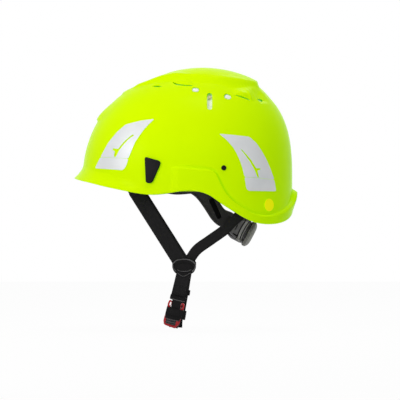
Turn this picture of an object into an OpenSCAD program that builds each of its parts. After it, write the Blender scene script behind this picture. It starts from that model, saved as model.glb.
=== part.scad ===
// Arborist helmet: moulded shell, foam and slip liners, nape cradle with a size dial, and a
// four-point chin strap with a side-release buckle. Millimetres.
// +Z is up, the front is -Y and the wearer's left is +X. The origin is inside the head, on the
// middle plane at brow height, so the widest line of the shell lies a little below it.

/* [Shell] */
// Half width of the shell at the ears
shell_half_w = 109; // [104:0.5:116]
// Reach of the shell forwards, above the peak
shell_front = 130.3; // [124:0.5:138]
// Reach of the shell backwards, above the rear lip
shell_back = 136.3; // [128:0.5:142]
// Height of the dome over its widest line
dome_h = 135; // [130:0.5:142]
// Wall of the shell
shell_t = 3; // [2:0.25:3.5]
// Height of the crest over the dome
crest_h = 9.2; // [4:0.2:12]
// Width of the crest's foot
crest_w = 115; // [90:1:118]
// Reach of the peak past the forehead
peak_out = 11; // [4:0.5:18]
// How far the ear band stands out
ear_step = 2.5; // [1.5:0.25:3]
// How far the rear lip stands out
lip_out = 7; // [3:0.5:10]

/* [Liners] */
// Thickness of the foam liner
foam_t = 18.1; // [14:0.1:19]
// Running space between the foam and the slip liner
slip_gap = 2.2; // [2:0.1:2.6]
// Thickness of the slip liner
slip_t = 1; // [0.8:0.1:1.4]
// Thickness of the comfort pads
pad_t = 5; // [3:0.5:7]

/* [Accessories] */
// Width of the accessory slot, the common 30 mm size
slot_w = 30.4; // [30:0.1:31]
// Depth of the accessory slot, across the shell
slot_d = 4.8; // [4.4:0.1:5.2]
// Height of the accessory slot
slot_h = 21; // [16:0.5:22]
// Wall of the accessory socket
socket_t = 1.5; // [1:0.1:2]
// Thickness of the reflectors and labels
film_t = 0.4; // [0.2:0.1:0.8]
// Radius of the round label
label_r = 7.8; // [6:0.5:10]
// Length of the side plug
plug_l = 31; // [26:0.5:34]

/* [Nape cradle] */
// From the side of the shell to the inside of the cradle's arms
nape_gap = 34; // [32:0.5:36]
// Slope of the cradle below level
nape_tilt = 27.5; // [22:0.5:32]
// Thickness of an arm
arm_t = 2; // [1.6:0.1:2.4]
// Radius of the temple pins
pin_r = 2.5; // [2:0.1:3]
// Diameter of the size dial
dial_d = 36; // [32:1:40]
// Thickness of the size dial
dial_t = 9; // [8:0.5:11]
// Module of the rack and pinion teeth
tooth_m = 1; // [0.9:0.05:1.05]
// Thickness of the toothed strips
rack_t = 2.3; // [1.8:0.1:2.4]

/* [Chin strap] */
// Width of the webbing
web_w = 19; // [17:0.2:20]
// Width of the rear webbing
rear_web_w = 12.4; // [11:0.2:15]
// Thickness of the webbing
web_t = 1.6; // [1.2:0.1:2]
// Width of the divider
divider_w = 30; // [28:0.5:34]
// Thickness of the divider
divider_t = 4.6; // [4.2:0.1:6]
// Width of the buckle's socket
buckle_w = 21.4; // [20:0.2:24]
// Thickness of the buckle's socket
buckle_t = 9; // [8:0.2:11]
// Thickness of the prongs
prong_t = 4.4; // [3.6:0.1:4.8]

/* [Fits] */
// Gap between parts that are assembled and stay still
fit_gap = 0.3; // [0.2:0.05:0.4]
// Running clearance of a shaft, on the radius
run_gap = 0.06; // [0.03:0.01:0.1]

/* [Hidden] */
wide_z = -20;
plan_n = 2.2;
front_p = 2.13;
back_p = 2.86;
// Lower edge of the shell: [degrees round from the front, height]
rim_line = [[0, -17], [24.6, -21.6], [44.5, -30], [58, -35.6], [67.4, -37.9], [76.8, -36.6], [91.6, -33],
    [100, -34.5], [106.3, -39.2], [112.6, -47.7], [120, -56.6], [128.3, -66], [136.6, -72.2], [148, -74.2],
    [160.5, -71], [172, -64], [180, -60]];
// Upper edge of the raised ear band and rear lip
band_line = [[83, -3.9], [95.8, -5.5], [106.3, -7.6], [110, -11.3], [112.1, -20.8], [115.8, -34.5],
    [121, -45.6], [128.3, -55.5], [135.6, -62.3], [142.8, -63.7], [152.1, -60.5], [160.5, -54.2], [170, -45],
    [175, -34.9], [180, -31]];
// The crest from front to rear: [y, share of its half width] and [y, share of its height]
crest_plan = [[-80, 0.24], [-66, 0.45], [-57, 0.55], [-44, 0.645], [-28, 0.705], [-15, 0.765], [4, 0.885],
    [23, 0.975], [40, 1], [59, 0.95], [76, 0.785], [88, 0.575], [94, 0.45]];
crest_rise = [[-92, 0], [-54, 0], [-40, 0.02], [-30, 0.2], [-15, 0.54], [6, 0.86], [24, 1],
    [45, 1], [70, 0.935], [92, 0.957]];
crest_end = 91.6;
crest_flat = 0.9;
shoulder_h = 4;

nape_r = shell_half_w - nape_gap;

// Depths below the dome's outer surface
foam_out = shell_t + fit_gap;
foam_in = foam_out + foam_t;
slip_out = foam_in + slip_gap;
slip_in = slip_out + slip_t;
slip_low = 14;
band_out = foam_in + 3.2;
band_t = 1.6;
band_in = band_out + band_t;
// Lower edge of the brow band: [degrees round from the front, height]
band_low = [[0, -20], [66, -20], [74, -35.8], [102, -35.8]];
band_top = 5;

function mix(a, b, t) = a + (b - a) * t;
function clamp01(t) = min(1, max(0, t));
function smooth(lo, hi, v) = let (t = clamp01((v - lo) / (hi - lo))) t * t * (3 - 2 * t);
function unit(v) = v / norm(v);

// A smooth curve through [u, v] points, level at both ends
function span_of(pts, u, i = 0) = i >= len(pts) - 2 || u < pts[i + 1][0] ? i : span_of(pts, u, i + 1);
function slope_at(pts, i) = i == 0 || i == len(pts) - 1
    ? 0
    : (pts[i + 1][1] - pts[i - 1][1]) / (pts[i + 1][0] - pts[i - 1][0]);
function curve(pts, u) =
    let (i = span_of(pts, u), h = pts[i + 1][0] - pts[i][0], t = clamp01((u - pts[i][0]) / h))
    pts[i][1] * (1 + 2 * t) * (1 - t) * (1 - t) + slope_at(pts, i) * h * t * (1 - t) * (1 - t)
    + pts[i + 1][1] * t * t * (3 - 2 * t) + slope_at(pts, i + 1) * h * t * t * (t - 1);
// A curve through three points, met at v = 0, 0.5 and 1
function bow(p, v) = p[0] * (1 - v) * (1 - 2 * v) + p[1] * 4 * v * (1 - v) + p[2] * v * (2 * v - 1);

// Angle from the front, the same on both sides
function fold(az) = acos(cos(az));
function plan_r(az, depth) = pow(
    pow(abs(cos(az)) / ((cos(az) > 0 ? shell_front : shell_back) - depth), plan_n)
    + pow(abs(sin(az)) / (shell_half_w - depth), plan_n), -1 / plan_n);
function dome_p(az) = front_p + (back_p - front_p) * pow((1 - cos(az)) / 2, 3);
function dome_r(az, el, depth) = el <= 0
    ? plan_r(az, depth) / cos(el)
    : pow(pow(cos(el) / plan_r(az, depth), dome_p(az)) + pow(sin(el) / (dome_h - depth), dome_p(az)),
        -1 / dome_p(az));
function dome_pt(az, el, depth) = let (r = dome_r(az, el, depth))
    [sin(az) * cos(el) * r, -cos(az) * cos(el) * r, wide_z + sin(el) * r];
// Elevation, seen from the dome's centre, of a height on the wall
function el_of(az, z, depth) = atan2(z - wide_z, plan_r(az, depth));
// Half width of the dome at a given y and z
function side_x(y, z, depth, az = 90, n = 4) =
    let (lift = max(0, z - wide_z) / (dome_h - depth),
        rho = pow(1 - pow(lift, dome_p(az)), 1 / dome_p(az)),
        reach = abs(y) / ((y < 0 ? shell_front : shell_back) - depth),
        x = (shell_half_w - depth) * pow(max(0, pow(rho, plan_n) - pow(reach, plan_n)), 1 / plan_n))
    n == 0 ? x : side_x(y, z, depth, atan2(x, -y), n - 1);
function side_pt(y, z, depth) = [side_x(y, z, depth), y, z];

// What the shell adds to the dome
// A crest with a flat top, steep walls and two shoulders in front
function crest(p) = let (across = abs(p[0]) / (crest_w / 2 * curve(crest_plan, max(-80, min(94, p[1])))))
    p[1] < -92 ? 0
    : (crest_h * curve(crest_rise, p[1])
        + shoulder_h * smooth(-72, -58, p[1]) * (1 - smooth(-32, 4, p[1])) * smooth(0.45, 0.85, across))
        * (1 - smooth(crest_end, crest_end + 2.6, p[1])) * (1 - smooth(crest_flat, 0.99, across));
function band(az, z) = let (a = fold(az), above_rim = z - curve(rim_line, a)) a < 82 ? 0
    : mix(ear_step, lip_out, smooth(146, 176, a)) * smooth(82, 90, a)
        * (1 - smooth(-1.5, 1.5, z - curve(band_line, a)))
        * mix(1, smooth(-2, 24, above_rim), smooth(135, 165, a));
function peak(az, z) = let (a = fold(az), above_rim = z - curve(rim_line, a))
    peak_out * pow(1 - clamp01(above_rim / 17), 1.7) * (1 - smooth(15, 80, a));
function shell_pt(az, el, depth) = let (p = dome_pt(az, el, depth), out = band(az, p[2]) + peak(az, p[2]))
    [p[0] + sin(az) * out, p[1] - cos(az) * out, p[2] + crest(p)];

// A dome open below, between two depths, down to the elevation low(az, depth)
module dome(pt, deep, shallow, cols, rows, low) {
    function skin(depth) = [pt(0, 90, depth), for (j = [1:rows], i = [0:cols - 1])
        let (az = 360 * i / cols, e = low(az, depth)) pt(az, 90 - (90 - e) * j / rows, depth)];
    n = 1 + cols * rows;
    function at(j, i) = 1 + (j - 1) * cols + i % cols;
    function skin_faces(o, flip) = [
        for (i = [0:cols - 1]) flip ? [o, o + at(1, i), o + at(1, i + 1)] : [o, o + at(1, i + 1), o + at(1, i)],
        for (j = [1:rows - 1], i = [0:cols - 1])
            each let (a = o + at(j, i), b = o + at(j, i + 1), c = o + at(j + 1, i + 1), d = o + at(j + 1, i))
                flip ? [[a, c, b], [a, d, c]] : [[a, b, c], [a, c, d]]];
    edge = [for (i = [0:cols - 1])
        each let (a = at(rows, i), b = at(rows, i + 1)) [[a, b, n + b], [a, n + b, n + a]]];
    polyhedron([each skin(shallow), each skin(deep)],
        [each skin_faces(0, false), each skin_faces(n, true), each edge]);
}

// A curved slab: at(u, v, depth) gives its points for u and v from 0 to 1
module slab(at, deep, shallow, nu, nv) {
    w = nu + 1;
    n = w * (nv + 1);
    function skin(depth) = [for (j = [0:nv], i = [0:nu]) at(i / nu, j / nv, depth)];
    faces = [for (j = [0:nv - 1], i = [0:nu - 1])
        each let (a = j * w + i, b = a + 1, c = b + w, d = a + w)
            [[a, c, b], [a, d, c], [n + a, n + b, n + c], [n + a, n + c, n + d]]];
    rim = [for (i = [0:nu - 1]) [i, i + 1], for (j = [0:nv - 1]) [nu + j * w, nu + (j + 1) * w],
        for (i = [0:nu - 1]) [nv * w + nu - i, nv * w + nu - i - 1],
        for (j = [0:nv - 1]) [(nv - j) * w, (nv - j - 1) * w]];
    polyhedron([each skin(shallow), each skin(deep)],
        [each faces, for (e = rim) each [[e[0], e[1], n + e[0]], [e[1], n + e[1], n + e[0]]]]);
}
// A slab between two angles and two elevations of the dome
module dome_slab(a0, a1, e0, e1, deep, shallow, nu, nv) {
    slab(function(u, v, depth) dome_pt(mix(a0, a1, u), mix(e0, e1, v), depth), deep, shallow, nu, nv);
}

// Places children on the dome with +Z outwards and +X level
module on_dome(az, el, depth) {
    p = dome_pt(az, el, depth);
    across = dome_pt(az + 1, el, depth) - dome_pt(az - 1, el, depth);
    up = dome_pt(az, el + 1, depth) - dome_pt(az, el - 1, depth);
    n = unit(cross(across, up));
    translate(p) rotate([0, 0, atan2(n[1], n[0]) + 90]) rotate([acos(n[2]), 0, 0]) children();
}
function az_at(y, z) = atan2(side_x(y, z, 0), -y);
function el_at(y, z) = let (x = side_x(y, z, 0)) atan2(z - wide_z, norm([x, y]));
module on_side(y, z, depth) {
    on_dome(az_at(y, z), el_at(y, z), depth) children();
}

// An outline with its corners rounded
function corner(a, p, b, r, n) =
    let (s = p + unit(a - p) * min(r, norm(a - p) * 0.48), e = p + unit(b - p) * min(r, norm(b - p) * 0.48))
    [for (k = [0:n]) let (t = k / n) s * (1 - t) * (1 - t) + p * 2 * t * (1 - t) + e * t * t];
function soft(pts, r, n = 4) = let (m = len(pts)) [for (i = [0:m - 1])
    each corner(pts[(i + m - 1) % m], pts[i], pts[(i + 1) % m], r, n)];
// A round-ended slot between the centres a and b
function slot_2d(a, b, w) = let (t = atan2(b[1] - a[1], b[0] - a[0])) [
    for (k = [0:8]) b + w / 2 * [cos(t - 90 + k * 22.5), sin(t - 90 + k * 22.5)],
    for (k = [0:8]) a + w / 2 * [cos(t + 90 + k * 22.5), sin(t + 90 + k * 22.5)]];

// A flat band along a path; its width lies along edge, or square to X if there is none
module webbing(path, w, t, edge = undef) {
    n = len(path);
    function way(i) = unit(path[min(i + 1, n - 1)] - path[max(i - 1, 0)]);
    function wide(i) = let (d = way(i))
        is_undef(edge) ? unit(cross(d, [1, 0, 0])) : unit(edge - d * (edge * d));
    function thick(i) = cross(way(i), wide(i));
    pts = [for (i = [0:n - 1], c = [[-1, -1], [1, -1], [1, 1], [-1, 1]])
        path[i] + wide(i) * c[0] * w / 2 + thick(i) * c[1] * t / 2];
    sides = [for (i = [0:n - 2], k = [0:3])
        each let (a = 4 * i + k, b = 4 * i + (k + 1) % 4) [[a, b + 4, b], [a, a + 4, b + 4]]];
    e = 4 * n - 4;
    polyhedron(pts, [[0, 1, 2], [0, 2, 3], each sides, [e, e + 2, e + 1], [e, e + 3, e + 2]]);
}
module both_sides() {
    children();
    mirror([1, 0, 0]) children();
}

// ---- Shell ----
shell_low = function(az, depth) el_of(az, curve(rim_line, fold(az)), depth);
// Vents seen from the side: [y, share of the dome's height, length, height, slope]
side_vents = [[-4.7, 0.909, 22, 3, -8], [-38.4, 0.9, 6, 3, 10], [13.3, 0.867, 9, 6, 0], [53.2, 0.79, 9, 6, 0],
    [31.1, 0.733, 6, 20.5, 0], [69.7, 0.773, 17, 5, -14], [86, 0.753, 10, 5, -10]];
// Which of them go on through the foam
through_vents = [0, 1, 5, 6];
vent_from = 12;

// A slot cut outwards from near the middle plane, rounded in the side view
module vent_cut(v) {
    r = min(v[2], v[3]) / 2;
    half = (max(v[2], v[3]) / 2 - r);
    d = v[2] > v[3] ? [half, 0] : [0, half];
    translate([vent_from, v[0], wide_z + v[1] * dome_h]) rotate([v[4], 0, 0]) rotate([90, 0, 90]) hull() {
        translate(d) cylinder(r = r, h = shell_half_w, $fn = 16);
        translate(-d) cylinder(r = r, h = shell_half_w, $fn = 16);
    }
}
plug_at = [-40.8, -6.6];
plug_top = 18.4;
plug_bottom = 7.6;
plug_drop = 4;
plug_plate = 2.2;
stem_w = 8;
stem_l = plug_l * 0.45;
stem_reach = (stem_l - stem_w) / 2;
module plug_hole(h, grow) {
    translate([0, 2, -h]) hull() {
        for (y = [-1, 1]) {
            translate([0, y * stem_reach, 0]) cylinder(r = stem_w / 2 + grow, h = 2 * h, $fn = 32);
        }
    }
}
module outer_shell() {
    color("greenyellow") difference() {
        dome(function(az, el, depth) shell_pt(az, el, depth), shell_t, 0, 88, 26, shell_low);
        both_sides() {
            for (v = side_vents) {
                vent_cut(v);
            }
            on_side(plug_at[0], plug_at[1], 0) plug_hole(8, fit_gap);
        }
    }
}

foam_lift = 5;
socket_y = 11;
socket_x = shell_half_w - shell_t + ear_step - 2.8;
socket_top = -13;
socket_foam_gap = 1;
module eps_liner() {
    color("whitesmoke") difference() {
        dome(function(az, el, depth) dome_pt(az, el, depth), foam_in, foam_out, 48, 14,
            function(az, depth) el_of(az, curve(rim_line, fold(az)) + foam_lift, depth));
        both_sides() {
            for (k = through_vents) {
                vent_cut(side_vents[k]);
            }
            translate([socket_x - slot_d - 2 * socket_t - socket_foam_gap,
                socket_y - slot_w / 2 - socket_t - socket_foam_gap, socket_top - slot_h - 30])
                cube([30, slot_w + 2 * (socket_t + socket_foam_gap), slot_h + socket_t + socket_foam_gap + 30]);
            on_side(plug_at[0], plug_at[1], 0) plug_hole(shell_t + 4, 1);
            tab_recess(front_path, web_w);
            tab_recess(rear_path, rear_web_w);
        }
    }
}

// Open-bottomed box that takes a 30 mm accessory blade
module ear_slot() {
    color("yellowgreen") difference() {
        translate([socket_x - slot_d - 2 * socket_t, socket_y - slot_w / 2 - socket_t, socket_top - slot_h])
            cube([slot_d + 2 * socket_t, slot_w + 2 * socket_t, slot_h + socket_t]);
        translate([socket_x - slot_d - socket_t, socket_y - slot_w / 2, socket_top - slot_h - 1])
            cube([slot_d, slot_w, slot_h + 1]);
    }
}
module ear_slot_left() { ear_slot(); }
module ear_slot_right() { mirror([1, 0, 0]) ear_slot(); }

module side_plug() {
    front = -plug_top / 2 + 1;
    outline = [[front - 1, plug_l / 2], [front, -plug_l / 2], [front + plug_bottom, -plug_l / 2],
        [plug_top / 2, plug_l / 2 - 2 * plug_drop], [plug_top / 2, plug_l / 2 - plug_drop]];
    color([0.1, 0.1, 0.11]) on_side(plug_at[0], plug_at[1], 0) {
        translate([0, 0, fit_gap]) linear_extrude(plug_plate) polygon(soft(outline, 3.5));
        translate([0, 2, -shell_t - 1]) linear_extrude(shell_t + 1 + fit_gap)
            polygon(slot_2d([0, -stem_reach], [0, stem_reach], stem_w));
    }
}
module side_plug_left() { side_plug(); }
module side_plug_right() { mirror([1, 0, 0]) side_plug(); }

// Reflectors: lower and upper ends and middle of the two long edges, as [y, z]
front_film = [[[-113.6, -3.2], [-99, 23.4], [-77.6, 49]], [[-74.8, -6.3], [-64.3, 24.1], [-38.5, 55.9]]];
rear_film = [[[76.1, -31.9], [66.2, 8], [42.1, 39.5]], [[116.6, -33.1], [103.7, 5.9], [87.3, 33.7]]];
film_lift = 0.15;
module reflector(edges) {
    color([0.8, 0.82, 0.84])
        slab(function(u, v, depth) let (p = mix(bow(edges[0], v), bow(edges[1], v), u))
            side_pt(p[0], p[1], depth),
            -film_lift, -film_lift - film_t, 8, 10);
}
module reflector_front_left() { reflector(front_film); }
module reflector_front_right() { mirror([1, 0, 0]) reflector(front_film); }
module reflector_rear_left() { reflector(rear_film); }
module reflector_rear_right() { mirror([1, 0, 0]) reflector(rear_film); }

label_at = [105, -50.6];
label_lift = 0.3;
module round_label() {
    color("gold") both_sides() on_side(label_at[0], label_at[1], -fit_gap - label_lift)
        cylinder(r = label_r, h = film_t, $fn = 48);
}
cap_at = [48.5, -4.5];
cap_r = 3.2;
module shell_plugs() {
    color([0.1, 0.1, 0.11]) both_sides() on_side(cap_at[0], cap_at[1], -fit_gap / 2)
        cylinder(r = cap_r, h = 1, $fn = 32);
}
// Beige hooks seen through the upper part of the tall side slots
hook_at = [31.1, wide_z + 0.773 * dome_h];
hook_r = 2.3;
module lamp_hooks() {
    foot = side_x(hook_at[0], hook_at[1] - hook_r, foam_out) + fit_gap;
    color("tan") both_sides() translate([foot, hook_at[0], hook_at[1]]) rotate([0, 90, 0]) difference() {
        cylinder(r = hook_r, h = 2.2, $fn = 32);
        translate([0, 0, -1]) cylinder(r = 1, h = 5, $fn = 32);
    }
}

// ---- Slip liner and pads ----
module slip_liner() {
    color("gold") dome(function(az, el, depth) dome_pt(az, el, depth), slip_in, slip_out, 40, 8,
        function(az, depth) el_of(az, slip_low, depth) * 1.02);
}
anchor_angles = [42, 138, 222, 318];
anchor_el = 36;
anchor_side = 0.25;
anchor_gap = 0.75;
module slip_anchors() {
    color("dimgray") for (az = anchor_angles) {
        on_dome(az, anchor_el, slip_out - anchor_side)
            cylinder(r = 6, h = slip_gap - anchor_side - anchor_gap, $fn = 32);
    }
}
pad_out = slip_in + 2 * fit_gap;
module crown_pad() {
    color([0.15, 0.15, 0.16])
        dome(function(az, el, depth) dome_pt(az, el, depth), pad_out + pad_t, pad_out, 24, 3,
        function(az, depth) 68);
}
module side_pads() {
    color([0.15, 0.15, 0.16]) both_sides() dome_slab(66, 118, 22, 44, pad_out + pad_t, pad_out, 8, 4);
}

// ---- Brow band ----
pivot_at = [13.8, -16.3];
band_reach = az_at(pivot_at[0], pivot_at[1]) + 9;
module brow_band() {
    color([0.12, 0.12, 0.13]) slab(function(u, v, depth)
        let (az = mix(-band_reach, band_reach, u), z = mix(curve(band_low, fold(az)), band_top, v))
            dome_pt(az, el_of(az, z, depth), depth),
        band_in, band_out, 48, 2);
}
module brow_pad() {
    color([0.15, 0.15, 0.16]) slab(function(u, v, depth)
        let (az = mix(-60, 60, u), z = mix(band_low[0][1] + 2, band_top - 2, v))
            dome_pt(az, el_of(az, z, depth), depth),
        band_in + fit_gap + pad_t, band_in + fit_gap, 24, 2);
}

// ---- Nape cradle: its own frame has y back and down along the slope, z square to it ----
nape_c = [0, 2.5, -46.5];
arm_out = nape_r + arm_t;
rack_in = arm_out + 0.6;
rack_out = rack_in + rack_t;
housing_in = nape_r - 0.3;
housing_back_in = housing_in - 2;
housing_split = rack_out + 1;
cover_out = housing_split + 3.4;
boss_y = cover_out + 1;
dial_y = boss_y + 0.9;
pivot_local = [(pivot_at[0] - nape_c[1]) * cos(nape_tilt) - (pivot_at[1] - nape_c[2]) * sin(nape_tilt),
    (pivot_at[0] - nape_c[1]) * sin(nape_tilt) + (pivot_at[1] - nape_c[2]) * cos(nape_tilt)];
pitch_r = 13 * tooth_m / 2;
mesh_r = (rack_in + rack_out) / 2;
tooth_angle = 180 * tooth_m / mesh_r;
shaft_r = 4;

module in_nape() {
    translate(nape_c) rotate([-nape_tilt, 0, 0]) children();
}
module ring_sector(r0, r1, z0, z1, a0, a1) {
    rotate([0, 0, 90 - a1]) rotate_extrude(angle = a1 - a0, $fn = 128)
        translate([r0, z0]) square([r1 - r0, z1 - z0]);
}
// Extrudes an outline drawn in x and z along y
module along_y(y0, y1) {
    translate([0, y1, 0]) rotate([90, 0, 0]) linear_extrude(y1 - y0) children();
}

boss_r = 7.5;
// Depth of the long recess in each arm
arm_recess = 1.2;
arm_edge = soft([[70, -6], [57, -6.6], [49, -9.2], [38, -6.1], [29, -0.8], [18, 5], [8, 10.2],
    pivot_local + [-boss_r, -boss_r + 1], pivot_local + [-boss_r - 1, boss_r - 1],
    pivot_local + [-1, boss_r + 1], pivot_local + [boss_r + 2, boss_r - 2], [20, 30], [36, 18.3],
    [45.6, 12.5], [53, 8.5], [57, 6], [70, 6]], 6, 3);
module arm() {
    color([0.2, 0.2, 0.22]) in_nape() difference() {
        intersection() {
            ring_sector(nape_r, arm_out, -60, 60, 5, 150);
            rotate([90, 0, 90]) linear_extrude(nape_r + 20) polygon(arm_edge);
        }
        intersection() {
            ring_sector(arm_out - arm_recess, arm_out + 1, -60, 60, 5, 150);
            rotate([90, 0, 90]) linear_extrude(nape_r + 20)
                polygon(slot_2d([26, 14.5], [45.5, 0.8], 5.5));
        }
        translate([nape_r / 2, pivot_local[0], pivot_local[1]]) rotate([0, 90, 0])
            cylinder(r = pin_r + run_gap, h = nape_r, $fn = 48);
    }
}
module arm_left() { arm(); }
module arm_right() { mirror([1, 0, 0]) arm(); }

pin_head_r = 5;
pin_seat_x = side_x(pivot_at[0], pivot_at[1], band_in);
pin_hub_x = sqrt(pow(nape_r, 2) - pow(pivot_local[0], 2));
module temple_pins() {
    color([0.25, 0.25, 0.27]) both_sides() translate([0, pivot_at[0], pivot_at[1]]) rotate([0, 90, 0]) {
        translate([0, 0, pin_hub_x - 2.6]) cylinder(r = pin_head_r, h = 2, $fn = 48);
        translate([0, 0, pin_hub_x - 2.6]) cylinder(r = pin_r, h = pin_seat_x - pin_hub_x + 2.2, $fn = 48);
        translate([0, 0, pin_hub_x + arm_t + 0.6])
            cylinder(r = pin_head_r, h = pin_seat_x - pin_hub_x - arm_t - 1.4, $fn = 48);
    }
}

housing_edge = [[-55, -9], [-46, -13.6], [-18, -15.6], [18, -15.6], [46, -13.6], [55, -9],
    [55, 9], [46, 13.6], [18, 15.6], [-18, 15.6], [-46, 13.6], [-55, 9]];
wall = 1.9;
cavity_edge = [[-70, -7.1], [-55, -7.1], [-46, -11.7], [-18, -13.7], [18, -13.7], [46, -11.7], [55, -7.1],
    [70, -7.1], [70, 7.1], [55, 7.1], [46, 11.7], [18, 13.7], [-18, 13.7], [-46, 11.7], [-55, 7.1], [-70, 7.1]];
housing_angle = 40;
module nape_housing() {
    color([0.2, 0.2, 0.22]) in_nape() difference() {
        intersection() {
            ring_sector(housing_back_in, housing_split, -16, 16, -housing_angle, housing_angle);
            along_y(10, 100) polygon(soft(housing_edge, 4, 3));
        }
        intersection() {
            ring_sector(housing_in, housing_split + 5, -15, 15, -housing_angle - 5, housing_angle + 5);
            along_y(10, 100) polygon(cavity_edge);
        }
    }
}
module nape_cover() {
    color([0.3, 0.3, 0.32]) in_nape() difference() {
        union() {
            intersection() {
                ring_sector(housing_split + fit_gap, cover_out, -16, 16, -housing_angle, housing_angle);
                along_y(10, 100) polygon(soft(housing_edge, 4, 3));
            }
            translate([0, boss_y, 0]) rotate([90, 0, 0])
                cylinder(r = dial_d / 2 - 3, h = boss_y - housing_split - fit_gap - 0.6, $fn = 96);
        }
        translate([0, boss_y + 1, 0]) rotate([90, 0, 0]) cylinder(r = shaft_r + run_gap, h = 10, $fn = 64);
        for (s = [-1, 1]) {
            rotate([0, 0, s * 32]) translate([0, cover_out - 1, -0.5]) cube([1.6, 4, 6], center = true);
        }
    }
}
nape_pad_t = 4.5;
module nape_pad() {
    color([0.15, 0.15, 0.16]) in_nape()
        ring_sector(housing_back_in - fit_gap - nape_pad_t, housing_back_in - fit_gap, -10, 10, -30, 30);
}

// Straight-sided teeth with room to run
tooth_tip = 0.3;
tooth_mid = 0.6;
tooth_root = 0.95;
module pinion_2d() {
    root = pitch_r - 1.25 * tooth_m;
    tip = pitch_r + 0.85 * tooth_m;
    circle(r = root, $fn = 64);
    for (k = [0:12]) {
        rotate(90 + k * 360 / 13) polygon([[root - 1, -tooth_root], [pitch_r, -tooth_mid], [tip, -tooth_tip],
            [tip, tooth_tip], [pitch_r, tooth_mid], [root - 1, tooth_root]] * [[1, 0], [0, tooth_m]]);
    }
}
module pinion() {
    color("lightgray") in_nape() difference() {
        union() {
            along_y(rack_in, rack_out) pinion_2d();
            translate([0, dial_y + dial_t - 4, 0]) rotate([90, 0, 0])
                cylinder(r = shaft_r, h = dial_y + dial_t - 4 - rack_out, $fn = 64);
        }
        translate([0, dial_y + dial_t, 0]) rotate([90, 0, 0]) cylinder(r = screw_r + run_gap, h = 30, $fn = 48);
    }
}
screw_r = 1.5;
module dial_screw() {
    color("silver") in_nape() translate([0, dial_y + dial_t - 1.6, 0]) rotate([90, 0, 0]) {
        cylinder(r = 3.2, h = 1.8, $fn = 48);
        cylinder(r = screw_r, h = dial_y + dial_t - 1.6 - rack_in, $fn = 48);
    }
}
knurls = 40;
module dial_knob() {
    r = dial_d / 2;
    color([0.3, 0.3, 0.32]) in_nape() difference() {
        union() {
            along_y(dial_y + 1, dial_y + dial_t - 1.2)
                polygon([for (k = [0:2 * knurls - 1]) let (a = 180 * k / knurls, q = k % 2 == 0 ? r : r - 0.8)
                    [q * cos(a), q * sin(a)]]);
            translate([0, dial_y + dial_t, 0]) rotate([90, 0, 0]) cylinder(r = r - 2, h = dial_t, $fn = 96);
        }
        translate([0, dial_y + dial_t - 4, 0]) rotate([90, 0, 0])
            cylinder(r = shaft_r + run_gap, h = 20, $fn = 64);
        translate([0, dial_y + dial_t + 1, 0]) rotate([90, 0, 0])
            cylinder(r = 3.2 + run_gap, h = 4.8, $fn = 48);
        translate([0, dial_y + dial_t, 0]) rotate([90, 0, 0]) cylinder(r = screw_r + run_gap, h = 20, $fn = 48);
    }
}
module click_ring() {
    color("silver") in_nape() along_y(boss_y + 0.1, dial_y - 0.2) difference() {
        circle(r = 12, $fn = 64);
        circle(r = 8, $fn = 64);
    }
}
// A toothed strip on the ring; up is 1 above the pinion and -1 below it
module rack(up, a0, a1) {
    foot = pitch_r + 1.25 * tooth_m;
    color([0.4, 0.4, 0.42]) in_nape() {
        ring_sector(rack_in, rack_out, up > 0 ? foot : -foot - 2.6, up > 0 ? foot + 2.6 : -foot, a0, a1);
        for (k = [-6:6]) {
            rotate([0, 0, -(k + (up > 0 ? 0.5 : 0)) * tooth_angle]) along_y(rack_in + 0.05, rack_out - 0.05)
                polygon([[-tooth_root, up * (foot + 0.5)], [-tooth_mid, up * pitch_r],
                    [-tooth_tip, up * (pitch_r - 0.85 * tooth_m)], [tooth_tip, up * (pitch_r - 0.85 * tooth_m)],
                    [tooth_mid, up * pitch_r], [tooth_root, up * (foot + 0.5)]]);
        }
    }
}
module rack_left() { rack(1, -15.5, 30); }
module rack_right() { rack(-1, -30, 15.5); }

// ---- Chin strap ----
strap_x = nape_r - 5.5;
front_path = [[strap_x + 1.4, -62.3, -32.2], [strap_x, -8, -118.2]];
rear_path = [[strap_x - 4.5, 74.4, -58.2], [strap_x - 4, 66.7, -66.4], [strap_x - 3.5, 59, -73.1],
    [strap_x - 2.5, 49.8, -82.7], [strap_x - 1.5, 31.7, -95.6], [strap_x - 0.5, 15.8, -107.4],
    [strap_x, 8.2, -118.3]];
divider_at = [strap_x, -0.9, -127.7];
lower_path = [[strap_x, -0.9, -136], [strap_x - 2.3, -7.4, -163]];
right_lower_path = [[-strap_x, -0.9, -136], [2 - strap_x, -5.4, -164], [3.5 - strap_x, -9.8, -188.5]];

module strap_front_left() { color([0.14, 0.13, 0.14]) webbing(front_path, web_w, web_t); }
module strap_front_right() { color([0.14, 0.13, 0.14]) mirror([1, 0, 0]) webbing(front_path, web_w, web_t); }
module strap_rear_left() { color([0.14, 0.13, 0.14]) webbing(rear_path, rear_web_w, web_t); }
module strap_rear_right() { color([0.14, 0.13, 0.14]) mirror([1, 0, 0]) webbing(rear_path, rear_web_w, web_t); }
module strap_lower_left() { color([0.14, 0.13, 0.14]) webbing(lower_path, web_w, web_t); }
module strap_lower_right() { color([0.14, 0.13, 0.14]) webbing(right_lower_path, web_w, web_t); }

// Points an object down a path, from its first point
module down_path(a, b) {
    d = unit(b - a);
    translate(a) rotate([atan2(d[1], -d[2]), 0, 0]) rotate([0, -asin(d[0]), 0]) children();
}
web_gap = 0.25;
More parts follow.
